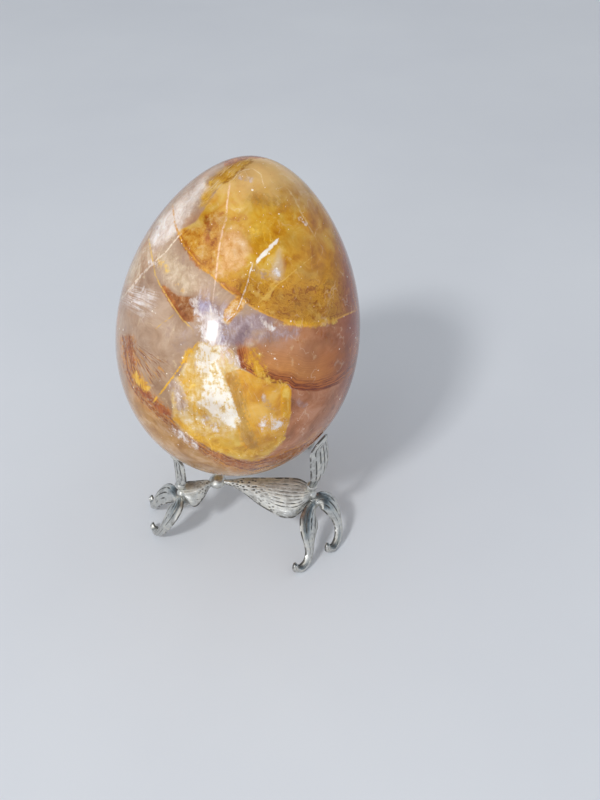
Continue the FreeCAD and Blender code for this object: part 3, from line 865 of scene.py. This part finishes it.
# %% Fine veils, darker depths and crackle
veil_lines = thin_lines(noise(curl_place, 0.08, 2.5, 0.55, 0.6), 0.012, 0.001)
lay((240, 222, 196), times(veil_lines, soft_step(cloudy_noise, 0.46, 0.62), 0.26))
depth_tone = pigment_ramp(noise(place, 0.16, 3.0, 0.5), (0.36, 206, 194, 186), (0.56, 255, 255, 255))
lay(depth_tone, 0.6, "MULTIPLY")
crackle_place = calculate_vector("MULTIPLY_ADD", noise(place, 0.5, 4.0, 0.6, output=1), (3.0, 3.0, 3.0), place)
crackle_cells = {"Vector": crackle_place, "Scale": 0.15}
to_edge = add_node("ShaderNodeTexVoronoi", crackle_cells, feature="DISTANCE_TO_EDGE").outputs["Distance"]
lay((238, 214, 170), times(soft_step(to_edge, 0.030, 0.004), soft_step(streaky_noise, 0.48, 0.66), 0.30))
print("crackle painted")


# %% Iron specks, and white flecks that are partly painted glints
# White flecks and painted glints are small cells of chance: some of them, more where the brushed strokes say so, get a
# dot of a chance size
def flecks_and_glints(place, grain, largest, more, fewest, rough=0.0):
    cells = add_node("ShaderNodeTexVoronoi", {"Vector": place, "Scale": grain}, feature="F1").outputs
    chance = add_node("ShaderNodeSeparateColor", {0: cells["Color"]}).outputs
    dot = calculate("LESS_THAN", roughen(cells["Distance"], rough), times(chance[1], largest))
    often = calculate("MULTIPLY_ADD", attribute("cloud_flecks_and_glints"), more, fewest)
    return times(dot, calculate("LESS_THAN", chance[0], often))


speckled_dome = times(in_dome, soft_step(mottled_noise, 0.45, 0.6))
speckled = calculate("MAXIMUM", speckled_dome, plate_cover("rust_wedge", 4.0, 2.0))
lay((128, 64, 6), times(soft_step(noise(place, 3.4, 3.0, 0.6), 0.64, 0.70), speckled, 0.5))
# White dots: partly white flecks, partly painted glints
lay((255, 246, 230), times(flecks_and_glints(place, 0.95, 0.17, 0.45, 0.09, rough=0.35), 0.85))
long_place = calculate_vector("MULTIPLY", place, (1.5, 1.0, 0.7))
lay((255, 250, 240), times(flecks_and_glints(long_place, 2.3, 0.27, 0.34, 0.015), 0.8))
print("specks and sparks painted")

# %% The polished surface
polish_pits = {"Strength": 0.05, "Distance": 0.05 * MM, "Height": noise(place, 3.2, 2.0, 0.5)}
finish_material({
    "Base Color": paint, "Roughness": calculate("MULTIPLY_ADD", cloudy_noise, 0.10, 0.05), "IOR": 1.54,
    "Normal": add_node("ShaderNodeBump", polish_pits).outputs[0],
    "Subsurface Weight": 0.12, "Subsurface Radius": (1.0, 0.62, 0.38), "Subsurface Scale": 1.2 * MM,
})

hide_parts("stone_egg")
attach(egg, "egg")
print("egg finished")

# %% [markdown]
# ## Silver plate
#
# The stand is plated: bright on the raised parts, dark where old polish and tarnish sit in the grooves. The leaves
# carry an attribute that says how deep a point lies in a groove or on its dark edge line, and the finish reads it.
# Where the casting is ribbed or pitted the plate is satin and a little less metallic. It also varies in warmth and has
# fine handling scratches.

# %% Make the silver finish
silver = bpy.data.materials.new("silver_plate")
start_tree(silver)
place = place_in_mm()
wear = noise(place, 0.7, 5.0, 0.65)
plate_tone = pigment_ramp(wear, (0.35, 176, 174, 168), (0.5, 208, 208, 204), (0.65, 228, 225, 214))
tarnish_noise = calculate("MULTIPLY_ADD", calculate("SUBTRACT", wear, 0.5), 0.9, attribute("groove"))
tarnish = soft_step(tarnish_noise, 0.25, 0.85)
satin = attribute("satin")
polish = calculate("MULTIPLY_ADD", satin, 0.24, calculate("MULTIPLY_ADD", wear, 0.24, 0.16))
scratches = noise(calculate_vector("MULTIPLY", place, (7.0, 0.9, 2.0)), 1.0, 3.0, 0.6)
scratch_bump = {"Strength": 0.12, "Distance": 0.03 * MM, "Height": scratches}
finish_material({
    "Base Color": paint_over(plate_tone, (62, 58, 54), times(tarnish, 0.80)),
    "Metallic": calculate("MULTIPLY_ADD", satin, -0.38, 1.0),
    "Roughness": calculate("MULTIPLY_ADD", tarnish, 0.35, polish),
    "Normal": add_node("ShaderNodeBump", scratch_bump).outputs[0],
})
print("silver ready")

# %% [markdown]
# ## The stand's plan
#
# Three posts stand on one circle, a third of a turn apart. Each carries an arm leaf to the off-centre hub, an
# upright leaf along the egg and two legs. The numbers are those of the solids, so that each leaf lies on its solid.

# %% Post directions and sizes in metres
POSTS = ["right", "left", "rear"]
POST_CIRCLE = 15.8 * MM
POST_TURN = 54.6
UP = np.array([0.0, 0.0, 1.0])
TOP_BEAD, MIDDLE_BEAD, BOTTOM_BEAD = 13.5 * MM, 11.25 * MM, 8.8 * MM
HUB = np.array([-6.8, -5.3, 12.8]) * MM
EDGE_THICKNESS = 0.4 * MM


def post_directions(index):
    turn = radians(POST_TURN - index * 360 / len(POSTS))
    return np.array([sin(turn), -cos(turn), 0.0]), np.array([cos(turn), sin(turn), 0.0])


# A smooth curve through rows of values given at places along a leaf
def smooth_through(places, rows, fine_places):
    places, rows = np.asarray(places, float), np.asarray(rows, float)
    slopes = np.gradient(rows, places, axis=0)
    index = np.clip(np.searchsorted(places, fine_places, side="right") - 1, 0, len(places) - 2)
    step = (places[index + 1] - places[index])
    share = (fine_places - places[index]) / step
    if rows.ndim == 2:
        step, share = step[:, None], share[:, None]
    start_weight = 2 * share**3 - 3 * share**2 + 1
    start_slope = share**3 - 2 * share**2 + share
    end_slope = share**3 - share**2
    return (start_weight * rows[index] + (1 - start_weight) * rows[index + 1]
            + step * (start_slope * slopes[index] + end_slope * slopes[index + 1]))


# %% [markdown]
# ## A leaf as a swept skin
#
# A leaf is a skin through many cross-sections. Its outer face is crowned, its edges are rounded and its inner face
# follows the crown. The sweep stores where each point lies across and along the leaf. Both ends close in one point.

# %% Sweep a leaf
OUTER_SAMPLES = 77
INNER_SAMPLES = 22
EDGE_SQUARENESS = 7


# The closed cross-section: the share across the leaf, and 1 on the outer face and 0 on the inner face. The points
# lie closer together towards the edges
def section_samples():
    outer = np.linspace(0, 1, OUTER_SAMPLES)
    outer = 0.55 * outer + 0.45 * (1 - np.cos(pi * outer)) / 2
    inner = np.linspace(1, 0, INNER_SAMPLES)[1:-1]
    inner = 0.5 * inner + 0.5 * (1 - np.cos(pi * inner)) / 2
    return np.concatenate([outer, inner]), np.concatenate([np.ones(len(outer)), np.zeros(len(inner))])


# Directions, thickness and crown are given once for the whole leaf or for each of its sections
def sweep_leaf(name, centres, along, facing, first_widths, last_widths, thickness, crown, fullness, place):
    across, outer = section_samples()
    side = unit(np.cross(np.broadcast_to(along, centres.shape), facing))
    out = unit(np.cross(side, along))
    rise = 1 - (2 * across - 1) ** 2
    rounding = np.sqrt(np.clip(1 - np.abs(2 * across - 1) ** EDGE_SQUARENESS, 0, 1))
    thick, crown = [np.broadcast_to(values, place.shape)[:, None] for values in (thickness, crown)]
    edge = np.minimum(EDGE_THICKNESS, thick)
    middle = (crown + (thick - edge) / 2) * rise
    half = (edge + (thick - edge) * rise) / 2 * rounding
    height = middle + np.where(outer > 0, half, -half)
    sideways = across * (first_widths + last_widths)[:, None] - first_widths[:, None]
    points = centres[:, None] + side[:, None] * sideways[:, :, None] + out[:, None] * height[:, :, None]
    points[:, :, 2] = np.maximum(points[:, :, 2], 0)
    return close_skin(name, points, {
        "across": across + 0 * height,
        "outer": outer * rounding + 0 * height,
        "along": place[:, None] + 0 * height,
        "fullness": fullness[:, None] + 0 * height,
    })


# A mesh from rings of points, closed with one point at each end
def close_skin(name, rings, attributes):
    count, ring = rings.shape[:2]
    vertices = np.concatenate([rings.reshape(-1, 3), rings[0].mean(0)[None], rings[-1].mean(0)[None]])
    start_pole, end_pole = count * ring, count * ring + 1
    faces = []
    for row in range(count - 1):
        for column in range(ring):
            following = (column + 1) % ring
            faces.append((row * ring + column, row * ring + following,
                          (row + 1) * ring + following, (row + 1) * ring + column))
    last = (count - 1) * ring
    for column in range(ring):
        following = (column + 1) % ring
        faces.append((following, column, start_pole))
        faces.append((last + column, last + following, end_pole))
    mesh = bpy.data.meshes.new(name)
    mesh.from_pydata(vertices.tolist(), [], faces)
    for attribute_name, values in attributes.items():
        poles = [values[0].mean(), values[-1].mean()]
        write_attribute(mesh, attribute_name, np.concatenate([values.reshape(-1), poles]))
    if signed_volume(mesh) < 0:
        mesh.flip_normals()
    return mesh


def signed_volume(mesh):
    mesh.calc_loop_triangles()
    corners = np.zeros(len(mesh.loop_triangles) * 3, np.int32)
    mesh.loop_triangles.foreach_get("vertices", corners)
    points = read_vectors(mesh.vertices, "co")[corners.reshape(-1, 3)]
    return np.einsum("ij,ij->i", points[:, 0], np.cross(points[:, 1], points[:, 2])).sum() / 6


print("section has", len(section_samples()[0]), "points")

# %% [markdown]
# ## Ribs and pits
#
# The ribs repeat across each leaf, so a Geometry Nodes tree cuts them: it sinks narrow grooves between the ribs and
# scatters small pits where the leaf asks for them. It also stores how deep a point lies in a groove, and a thin dark
# line along both edges, for the tarnish.

# %% Grow the relief on a leaf
GROOVE_NARROWNESS = 3.5
relief_sizes = {"Ribs": 8.0, "Rib Depth": 0.07 * MM, "Pit Grain": 1.9, "Pit Depth": 0.12 * MM, "Edge Tarnish": 0.75}
tree, size, output = make_geometry_tree("leaf_relief", relief_sizes)


def named(name):
    return add_node("GeometryNodeInputNamedAttribute", {"Name": name}, data_type="FLOAT").outputs[0]


place = calculate_vector("MULTIPLY", add_node("GeometryNodeInputPosition").outputs[0], (1 / MM, 1 / MM, 1 / MM))
leaf_across, outer_face = named("across"), named("outer")
waver = calculate("SUBTRACT", noise(place, 0.5, 2.0), 0.5)
uneven = noise(place, 0.75, 3.0, 0.6)
rib_angle = times(calculate("MULTIPLY_ADD", waver, 0.05, leaf_across), size["Ribs"], 2 * pi)
valley = calculate("POWER", calculate("MULTIPLY_ADD", calculate("COSINE", rib_angle), 0.5, 0.5), GROOVE_NARROWNESS)
rim = times(soft_step(leaf_across, 0.03, 0.10), soft_step(leaf_across, 0.97, 0.90))
cut = times(valley, soft_step(uneven, 0.25, 0.62), rim, outer_face, named("fullness"), named("ribbed"))
pit_cells = {"Vector": calculate_vector("MULTIPLY", place, (0.62, 0.8, 1.3)), "Scale": size["Pit Grain"]}
to_pit = add_node("ShaderNodeTexVoronoi", pit_cells).outputs["Distance"]
pit = times(soft_step(to_pit, 0.50, 0.24), named("pitted"), outer_face)
edge_line = calculate("MAXIMUM", soft_step(leaf_across, 0.075, 0.03), soft_step(leaf_across, 0.925, 0.97))
edge_line = times(edge_line, size["Edge Tarnish"], soft_step(uneven, 0.30, 0.55))
sink = calculate("MULTIPLY_ADD", cut, size["Rib Depth"], times(pit, size["Pit Depth"]))
inward = {0: add_node("GeometryNodeInputNormal").outputs[0], "Scale": times(sink, -1.0)}
inward = add_node("ShaderNodeVectorMath", inward, operation="SCALE").outputs[0]
dark = calculate("MAXIMUM", calculate("MAXIMUM", cut, pit), edge_line)
stored = {"Geometry": size["Geometry"], "Name": "groove", "Value": dark}
stored = add_node("GeometryNodeStoreNamedAttribute", stored, data_type="FLOAT", domain="POINT").outputs[0]
sunk = add_node("GeometryNodeSetPosition", {"Geometry": stored, "Offset": inward})
finish_geometry_tree(sunk.outputs[0], output, silver)
leaf_relief = tree


def finish_silver(piece, node):
    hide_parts(node)
    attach(piece, "stand")


def add_leaf(node, skin, ribs, ribbed, pitted, satin):
    everywhere = np.zeros(len(skin.vertices))
    write_attribute(skin, "pitted", pitted + everywhere)
    write_attribute(skin, "ribbed", ribbed + everywhere)
    write_attribute(skin, "satin", satin * np.clip(ribbed + pitted + everywhere, 0, 1))
    finish_silver(grow(f"silver_{node}", leaf_relief, dict(relief_sizes, Ribs=ribs), skin), node)


# %% [markdown]
# ## The arm leaves
#
# Each arm leaf hangs from the line between the hub and its post. It is broad near the post and narrow at the hub,
# and its ribs run together at both ends. The ribs run out from the post and leave a smooth lip along the hanging edge.
# The pits lie towards the hub and on that lip.

# %% Grow the arm leaves
ARM_EDGE_SHARES = np.array([
    (0.00, 0.07, 0.05), (0.12, 0.08, 0.06), (0.30, 0.18, 0.22), (0.45, 0.23, 0.42), (0.60, 0.28, 0.57),
    (0.76, 0.33, 0.67), (0.87, 0.32, 0.59), (0.94, 0.24, 0.38), (1.00, 0.10, 0.08),
])
# Each arm's width, the number of its ribs and how strong they are
ARMS = {"right": (8.5 * MM, 11.0, 1.0), "left": (5.6 * MM, 8.0, 0.5), "rear": (7.6 * MM, 8.0, 0.8)}
ARM_THICKNESS, ARM_CROWN, ARM_FULL_CROWN_SHARE = 0.9 * MM, 0.8 * MM, 0.7
ARM_SLOPE = radians(45)
ARM_START = 1.2 * MM
ARM_SATIN = 1.0
ARM_STEPS = 130

for index, (name, (arm_width, ribs, rib_strength)) in enumerate(ARMS.items()):
    outward, _ = post_directions(index)
    span = outward * POST_CIRCLE + UP * MIDDLE_BEAD - HUB
    along = unit(span)
    hangs_right = name == "right"
    level = unit(np.cross(UP, along)) * (-1 if hangs_right else 1)
    leaf_facing = level * sin(ARM_SLOPE) + UP * cos(ARM_SLOPE)
    place = np.linspace(ARM_START / np.linalg.norm(span), 1, ARM_STEPS)
    upper, lower = smooth_through(ARM_EDGE_SHARES[:, 0], ARM_EDGE_SHARES[:, 1:], place).T * arm_width
    fullness = np.clip((upper + lower) / arm_width / ARM_FULL_CROWN_SHARE, 0, 1)
    first, last = (upper, lower) if hangs_right else (lower, upper)
    skin = sweep_leaf(
        f"{name}_arm", HUB + span * place[:, None], along, leaf_facing, first, last, ARM_THICKNESS,
        ARM_CROWN * fullness, fullness, place,
    )
    hanging, outwards = read_attribute(skin, "across"), read_attribute(skin, "along")
    hanging = hanging if hangs_right else 1 - hanging
    near_hub = np.clip(1.7 - 2.2 * outwards, 0, 1) * smooth_step(outwards, 0.08, 0.20)
    on_lip = 0.9 * smooth_step(hanging, 0.66, 0.85) * (1 - smooth_step(outwards, 0.6, 0.85))
    ribbed = (0.2 + 0.85 * smooth_step(outwards, 0.30, 0.75)) * (1 - smooth_step(hanging, 0.74, 0.86)) * rib_strength
    add_leaf(f"{name}_arm_leaf", skin, ribs, ribbed, np.maximum(near_hub, on_lip), ARM_SATIN)

# %% [markdown]
# ## The upright leaves
#
# An upright leaf rises from the top bead with a bow outward and then leans out along the egg, close to it. Its path is
# found on the egg's own form. The right leaf is bowed most, because the egg leans on it.

# %% Grow the upright leaves
UPRIGHT_SHARES = np.array([
    (0.00, 0.20, 0.00), (0.12, 0.55, 0.30), (0.30, 0.90, 0.85), (0.45, 1.00, 1.00), (0.62, 0.98, 1.00),
    (0.80, 0.84, 1.00), (0.92, 0.55, 0.90), (1.00, 0.20, 0.80),
])
UPRIGHT_WIDTH, UPRIGHT_THICKNESS, SEAT_GAP = 6.8 * MM, 1.1 * MM, 0.08 * MM
TIP_HEIGHTS = {"right": 29.0 * MM, "left": 22.6 * MM, "rear": 29.0 * MM}
BOWS = {"right": 2.2 * MM, "left": -0.4 * MM, "rear": 0.9 * MM}
TIP_ROUNDING = 0.07
UPRIGHT_RIBS, UPRIGHT_RIB_STRENGTH = 5.0, 1.3
PLAIN_SATIN = 0.15
UPRIGHT_STEPS = 90


def egg_radius(height):
    reach = EGG_POINT if height > 0 else EGG_BLUNT
    share = min(1.0, abs(height) / reach)
    return EGG_WIDE * (1 - share**2) ** 0.5 * (1 - (EGG_TAPER * share**2 if height > 0 else 0))


# The distance from the posts' axis to the egg's surface, in one direction and at one height
def egg_surface(outward, height):
    near, far = 0.0, 2 * EGG_WIDE
    for _ in range(50):
        middle = (near + far) / 2
        offset = outward * middle + UP * height - egg_centre
        along = offset @ egg_axis
        if np.linalg.norm(offset - egg_axis * along) < egg_radius(along):
            near = middle
        else:
            far = middle
    return near


# The directions of a curve at each of its points
def curve_directions(points):
    ahead = np.vstack([points[1:], points[-1:]])
    behind = np.vstack([points[:1], points[:-1]])
    return unit(ahead - behind)


for index, name in enumerate(POSTS):
    outward, _ = post_directions(index)
    path = []
    for share, _, bow_share in UPRIGHT_SHARES:
        height = TOP_BEAD + (TIP_HEIGHTS[name] - TOP_BEAD) * share
        slope = (egg_surface(outward, height + SEAT_GAP) - egg_surface(outward, height - SEAT_GAP)) / (2 * SEAT_GAP)
        hug = egg_surface(outward, height) + (SEAT_GAP + UPRIGHT_THICKNESS / 2) * hypot(1, slope)
        path.append(outward * max(POST_CIRCLE + BOWS[name] * bow_share, hug) + UP * height)
    place = np.linspace(0, 1, UPRIGHT_STEPS)
    centres = smooth_through(UPRIGHT_SHARES[:, 0], np.array(path), place)
    width = smooth_through(UPRIGHT_SHARES[:, 0], UPRIGHT_SHARES[:, 1], place)
    tip = np.sqrt(np.clip(1 - ((place - 1 + TIP_ROUNDING) / TIP_ROUNDING).clip(0) ** 2, 0.02, 1))
    half = width * UPRIGHT_WIDTH / 2 * tip
    skin = sweep_leaf(
        f"{name}_upright", centres, curve_directions(centres), outward, half, half,
        UPRIGHT_THICKNESS * np.maximum(tip, 0.3), 0.0, np.clip(width * 1.1, 0, 1), place,
    )
    add_leaf(f"{name}_upright_leaf", skin, UPRIGHT_RIBS, UPRIGHT_RIB_STRENGTH, 0.0, PLAIN_SATIN)

# %% [markdown]
# ## The legs
#
# A leg starts as a small ribbed leaf at the bottom bead, narrows to a stem, bows out to the table and ends in a toe
# that curls up. Its line is one Bezier curve with the toe's arc after it. A few more rings, which shrink to the tip,
# round the toe's end.

# %% Grow the legs
LEG_LEAF_SHARES = np.array([
    (0.0, 0.0), (0.12, 0.55), (0.26, 1.0), (0.42, 0.86), (0.56, 0.42), (0.7, 0.08), (0.85, 0.0), (1.0, 0.0),
])
LEG_LEAF_WIDTH, LEG_LEAF_THICKNESS = 4.6 * MM, 1.1 * MM
LEG_STEM_WIDTH, LEG_STEM_THICKNESS = 1.8 * MM, 1.5 * MM
TOE_RADIUS, TOE_TAPER, TOE_TIP_LENGTH = 1.25 * MM, 0.7, 0.63 * MM
TOE_BEND = (0, radians(105))
LEFT_TOE_BEND = (radians(30), radians(65))
FOOT_FLAT_DEPTH = 0.12 * MM
# How far the foot stands out and round from its post, and the curve's two guides as shares of that and of the height
LEGS = {
    "long_leg": (3.4 * MM, 10.65 * MM, [(0.85, 0.72, 1.15), (1.38, 0.59, 0.15)]),
    "short_leg": (5.9 * MM, 2.5 * MM, [(0.51, -1.24, 1.32), (1.12, -1.00, 0.22)]),
}
LEG_STEPS, TOE_STEPS, TIP_STEPS = 70, 18, 7
LEG_RIBS, LEG_RIB_STRENGTH, STEM_GROOVE = 4.0, 1.1, 0.6


def leg_line(index, foot_out, foot_round, guides, toe_turn, toe_sweep):
    outward, around = post_directions(index)
    start = outward * POST_CIRCLE + UP * BOTTOM_BEAD
    foot = outward * (POST_CIRCLE + foot_out) - around * foot_round + UP * (LEG_STEM_WIDTH / 2 - FOOT_FLAT_DEPTH)
    first, second = [
        outward * (POST_CIRCLE + foot_out * share_out) - around * foot_round * share_round + UP * BOTTOM_BEAD * rise
        for share_out, share_round, rise in guides
    ]
    place = np.linspace(0, 1, LEG_STEPS)[:, None]
    curve = start * (1 - place) ** 3 + first * 3 * (1 - place) ** 2 * place + second * 3 * (1 - place) * place**2
    curve = curve + foot * place**3
    ahead = unit((foot - second) * np.array([1, 1, 0]))
    heading = np.array([ahead[0] * cos(toe_turn) - ahead[1] * sin(toe_turn),
                        ahead[0] * sin(toe_turn) + ahead[1] * cos(toe_turn), 0])
    sweep = toe_sweep * np.linspace(0, 1, TOE_STEPS + 1)[1:, None]
    toe = foot + heading * TOE_RADIUS * np.sin(sweep) + UP * TOE_RADIUS * (1 - np.cos(sweep))
    return np.vstack([curve, toe])


leg_leaf = smooth_through(LEG_LEAF_SHARES[:, 0], LEG_LEAF_SHARES[:, 1], np.linspace(0, 1, LEG_STEPS))
leg_leaf = np.concatenate([np.clip(leg_leaf, 0, 1), np.zeros(TOE_STEPS + TIP_STEPS)])
tip_angle = np.linspace(0, pi / 2, TIP_STEPS + 1)[1:]
tip_scale = TOE_TAPER * np.maximum(np.cos(tip_angle), 0.02)
leg_scale = np.concatenate([np.ones(LEG_STEPS), np.linspace(1, TOE_TAPER, TOE_STEPS), tip_scale])
leg_half = (LEG_STEM_WIDTH + (LEG_LEAF_WIDTH - LEG_STEM_WIDTH) * leg_leaf) * leg_scale / 2
leg_thickness = (LEG_STEM_THICKNESS + (LEG_LEAF_THICKNESS - LEG_STEM_THICKNESS) * leg_leaf) * leg_scale
leg_fullness = np.maximum(leg_leaf, STEM_GROOVE * smooth_step(leg_scale, 0.3, 0.75))
for index, name in enumerate(POSTS):
    outward, _ = post_directions(index)
    for leg_name, leg_shape in LEGS.items():
        line = leg_line(index, *leg_shape, *(LEFT_TOE_BEND if name == "left" else TOE_BEND))
        along = curve_directions(line)
        line = np.vstack([line, line[-1] + along[-1] * TOE_TIP_LENGTH * np.sin(tip_angle)[:, None]])
        along = np.vstack([along, np.tile(along[-1], (TIP_STEPS, 1))])
        skin = sweep_leaf(
            f"{name}_{leg_name}", line, along, outward + UP * leg_leaf[:, None], leg_half, leg_half, leg_thickness,
            0.0, leg_fullness, np.linspace(0, 1, len(line)),
        )
        add_leaf(f"{name}_{leg_name}", skin, LEG_RIBS, LEG_RIB_STRENGTH, 0.0, PLAIN_SATIN)

# %% [markdown]
# ## Posts and hub
#
# A post is three beads that run into each other, like drops of solder. Its outline is turned round the post's axis,
# and a slow noise keeps the drops from looking machined. The hub is one flattened bead of the same make, with smaller
# lumps.

# %% Turn the beads
BEADS = [(BOTTOM_BEAD, 1.45 * MM), (MIDDLE_BEAD, 1.0 * MM), (TOP_BEAD, 1.15 * MM)]
POST_CORE = 0.7 * MM
POST_RINGS, HUB_RINGS, BEAD_SIDES = 90, 40, 48
HUB_HALF_HEIGHT, HUB_RADIUS = 1.5 * MM, 1.8 * MM
BEAD_SATIN, POST_LUMPS, HUB_LUMPS = 0.30, 0.07, 0.03
LUMP_SEED, LUMP_WAVE_MM = 5, 2.4


# A closed lumpy body turned round an upright axis, from heights and radii
def add_turned(node, centre, heights, radii, lumps):
    angles = np.linspace(0, 2 * pi, BEAD_SIDES, endpoint=False)
    circle = np.stack([np.cos(angles), np.sin(angles), np.zeros(BEAD_SIDES)], axis=1)
    middle = centre + UP * heights[:, None, None] + np.zeros_like(circle)
    spokes = circle * radii[:, None, None]
    swell = 1 + lumps * slow_waves((middle + spokes).reshape(-1, 3), LUMP_SEED, LUMP_WAVE_MM)
    shape = middle.shape[:2]
    rings = middle + spokes * swell.reshape(shape)[:, :, None]
    skin = close_skin(f"silver_{node}", rings, {"groove": np.zeros(shape), "satin": np.full(shape, BEAD_SATIN)})
    skin.shade_smooth()
    skin.materials.append(silver)
    finish_silver(add_object(f"silver_{node}", skin), node)
    print(node, "has", len(skin.vertices), "points")


low, high = BEADS[0][0] - BEADS[0][1], BEADS[-1][0] + BEADS[-1][1]
climb = (1 - np.cos(np.linspace(0, pi, POST_RINGS))) / 2
heights = low + (high - low) * np.clip(climb, 1e-4, 1 - 1e-4)
profile = np.where((heights > BEADS[0][0]) & (heights < BEADS[-1][0]), POST_CORE, 1e-6)
for bead_height, bead_radius in BEADS:
    profile = np.maximum(profile, np.sqrt(np.clip(bead_radius**2 - (heights - bead_height) ** 2, 0, None)))
for index, name in enumerate(POSTS):
    add_turned(f"{name}_post", post_directions(index)[0] * POST_CIRCLE, heights, profile, POST_LUMPS)

turn = np.linspace(0.01, pi - 0.01, HUB_RINGS)
add_turned("hub_bead", HUB, -HUB_HALF_HEIGHT * np.cos(turn), HUB_RADIUS * np.sin(turn), HUB_LUMPS)

# %% [markdown]
# ## Floor, backdrop and light
#
# The studio is plain: a pale floor that runs out to a pale backdrop. The key lamp throws the shadow back and to the
# right as in the photograph. A small low lamp makes the bright spot on the stone's left side. The backdrop is pale
# near the horizon and darker above, for the camera and for reflections alike, so that the silver has something dark
# to reflect, and a plain white area round the key lamp's direction gives it something bright. The soft fill light
# stays even.

# %% Make the floor
FLOOR_REACH = 3.0
floor_mesh = bpy.data.meshes.new("pale_floor")
floor_corners = np.array([(-1, -1, 0), (1, -1, 0), (1, 1, 0), (-1, 1, 0)]) * FLOOR_REACH
floor_mesh.from_pydata(floor_corners.tolist(), [], [(0, 1, 2, 3)])
floor = add_object("pale_floor", floor_mesh)
floor_finish = bpy.data.materials.new("pale_floor")
start_tree(floor_finish)
floor_noise = noise(add_node("ShaderNodeTexCoord").outputs["Object"], 9.0, 4.0)
floor_tone = pigment_ramp(floor_noise, (0.3, 212, 217, 225), (0.7, 218, 223, 230))
finish_material({"Base Color": floor_tone, "Roughness": 0.55, "Specular IOR Level": 0.2})
floor_mesh.materials.append(floor_finish)
print("floor reaches", FLOOR_REACH, "m")

# %% Make the backdrop and the fill light
FILL_STRENGTH = 0.60
KEY_DIRECTION = (-0.374, -0.600, 0.708)
WINDOW_REACH = radians(34)
world = bpy.data.worlds.new("pale_studio")
bpy.context.scene.world = world
start_tree(world)
looking = add_node("ShaderNodeTexCoord").outputs["Generated"]
upwards = add_node("ShaderNodeSeparateXYZ", {0: looking}).outputs[2]
studio = pigment_ramp(upwards, (0.20, 214, 218, 226), (0.36, 134, 158, 176), (0.55, 62, 84, 102), (0.90, 34, 42, 52))
towards_key = {0: looking, 1: unit(np.array(KEY_DIRECTION)).tolist()}
near_key = add_node("ShaderNodeVectorMath", towards_key, operation="DOT_PRODUCT").outputs["Value"]
studio = paint_over(studio, (255, 255, 255), soft_step(near_key, cos(WINDOW_REACH), cos(WINDOW_REACH * 0.75)))
rays = add_node("ShaderNodeLightPath").outputs
mirrored = calculate("MAXIMUM", rays["Is Glossy Ray"], rays["Is Transmission Ray"])
seen = calculate("MAXIMUM", rays["Is Camera Ray"], mirrored)
fill = add_node("ShaderNodeBackground", {"Color": (0.97, 0.98, 1.0, 1.0), "Strength": FILL_STRENGTH})
backdrop = add_node("ShaderNodeBackground", {"Color": studio, "Strength": 1.0})
mixed = add_node("ShaderNodeMixShader", {0: seen, 1: fill.outputs[0], 2: backdrop.outputs[0]})
add_node("ShaderNodeOutputWorld", {"Surface": mixed.outputs[0]})
print("backdrop ready")

# %% Place the lamps: direction from the egg, distance and side in metres, power, colour, and whether it reflects
LAMPS = {
    "key_lamp": (KEY_DIRECTION, 0.9, 0.12, 3.5, (1.0, 0.985, 0.96), False),
    "spot_lamp": ((-0.424, -0.890, 0.170), 0.6, 0.09, 0.5, (0.97, 0.98, 1.0), True),
}
for name, (direction, distance, side, power, colour, glossy) in LAMPS.items():
    lamp = bpy.data.lights.new(name, "AREA")
    lamp.size, lamp.energy, lamp.color = side, power, colour
    holder = add_object(name, lamp)
    towards = unit(np.array(direction, float))
    spot = egg_centre + towards * distance
    sideways = unit(np.cross(UP, towards))
    lamp_columns = np.stack([sideways, np.cross(towards, sideways), towards], axis=1)
    holder.matrix_world = Matrix.Translation(spot) @ Matrix(lamp_columns.tolist()).to_4x4()
    holder.visible_glossy = glossy
    print(name, "at", (spot / MM).round(), "mm")
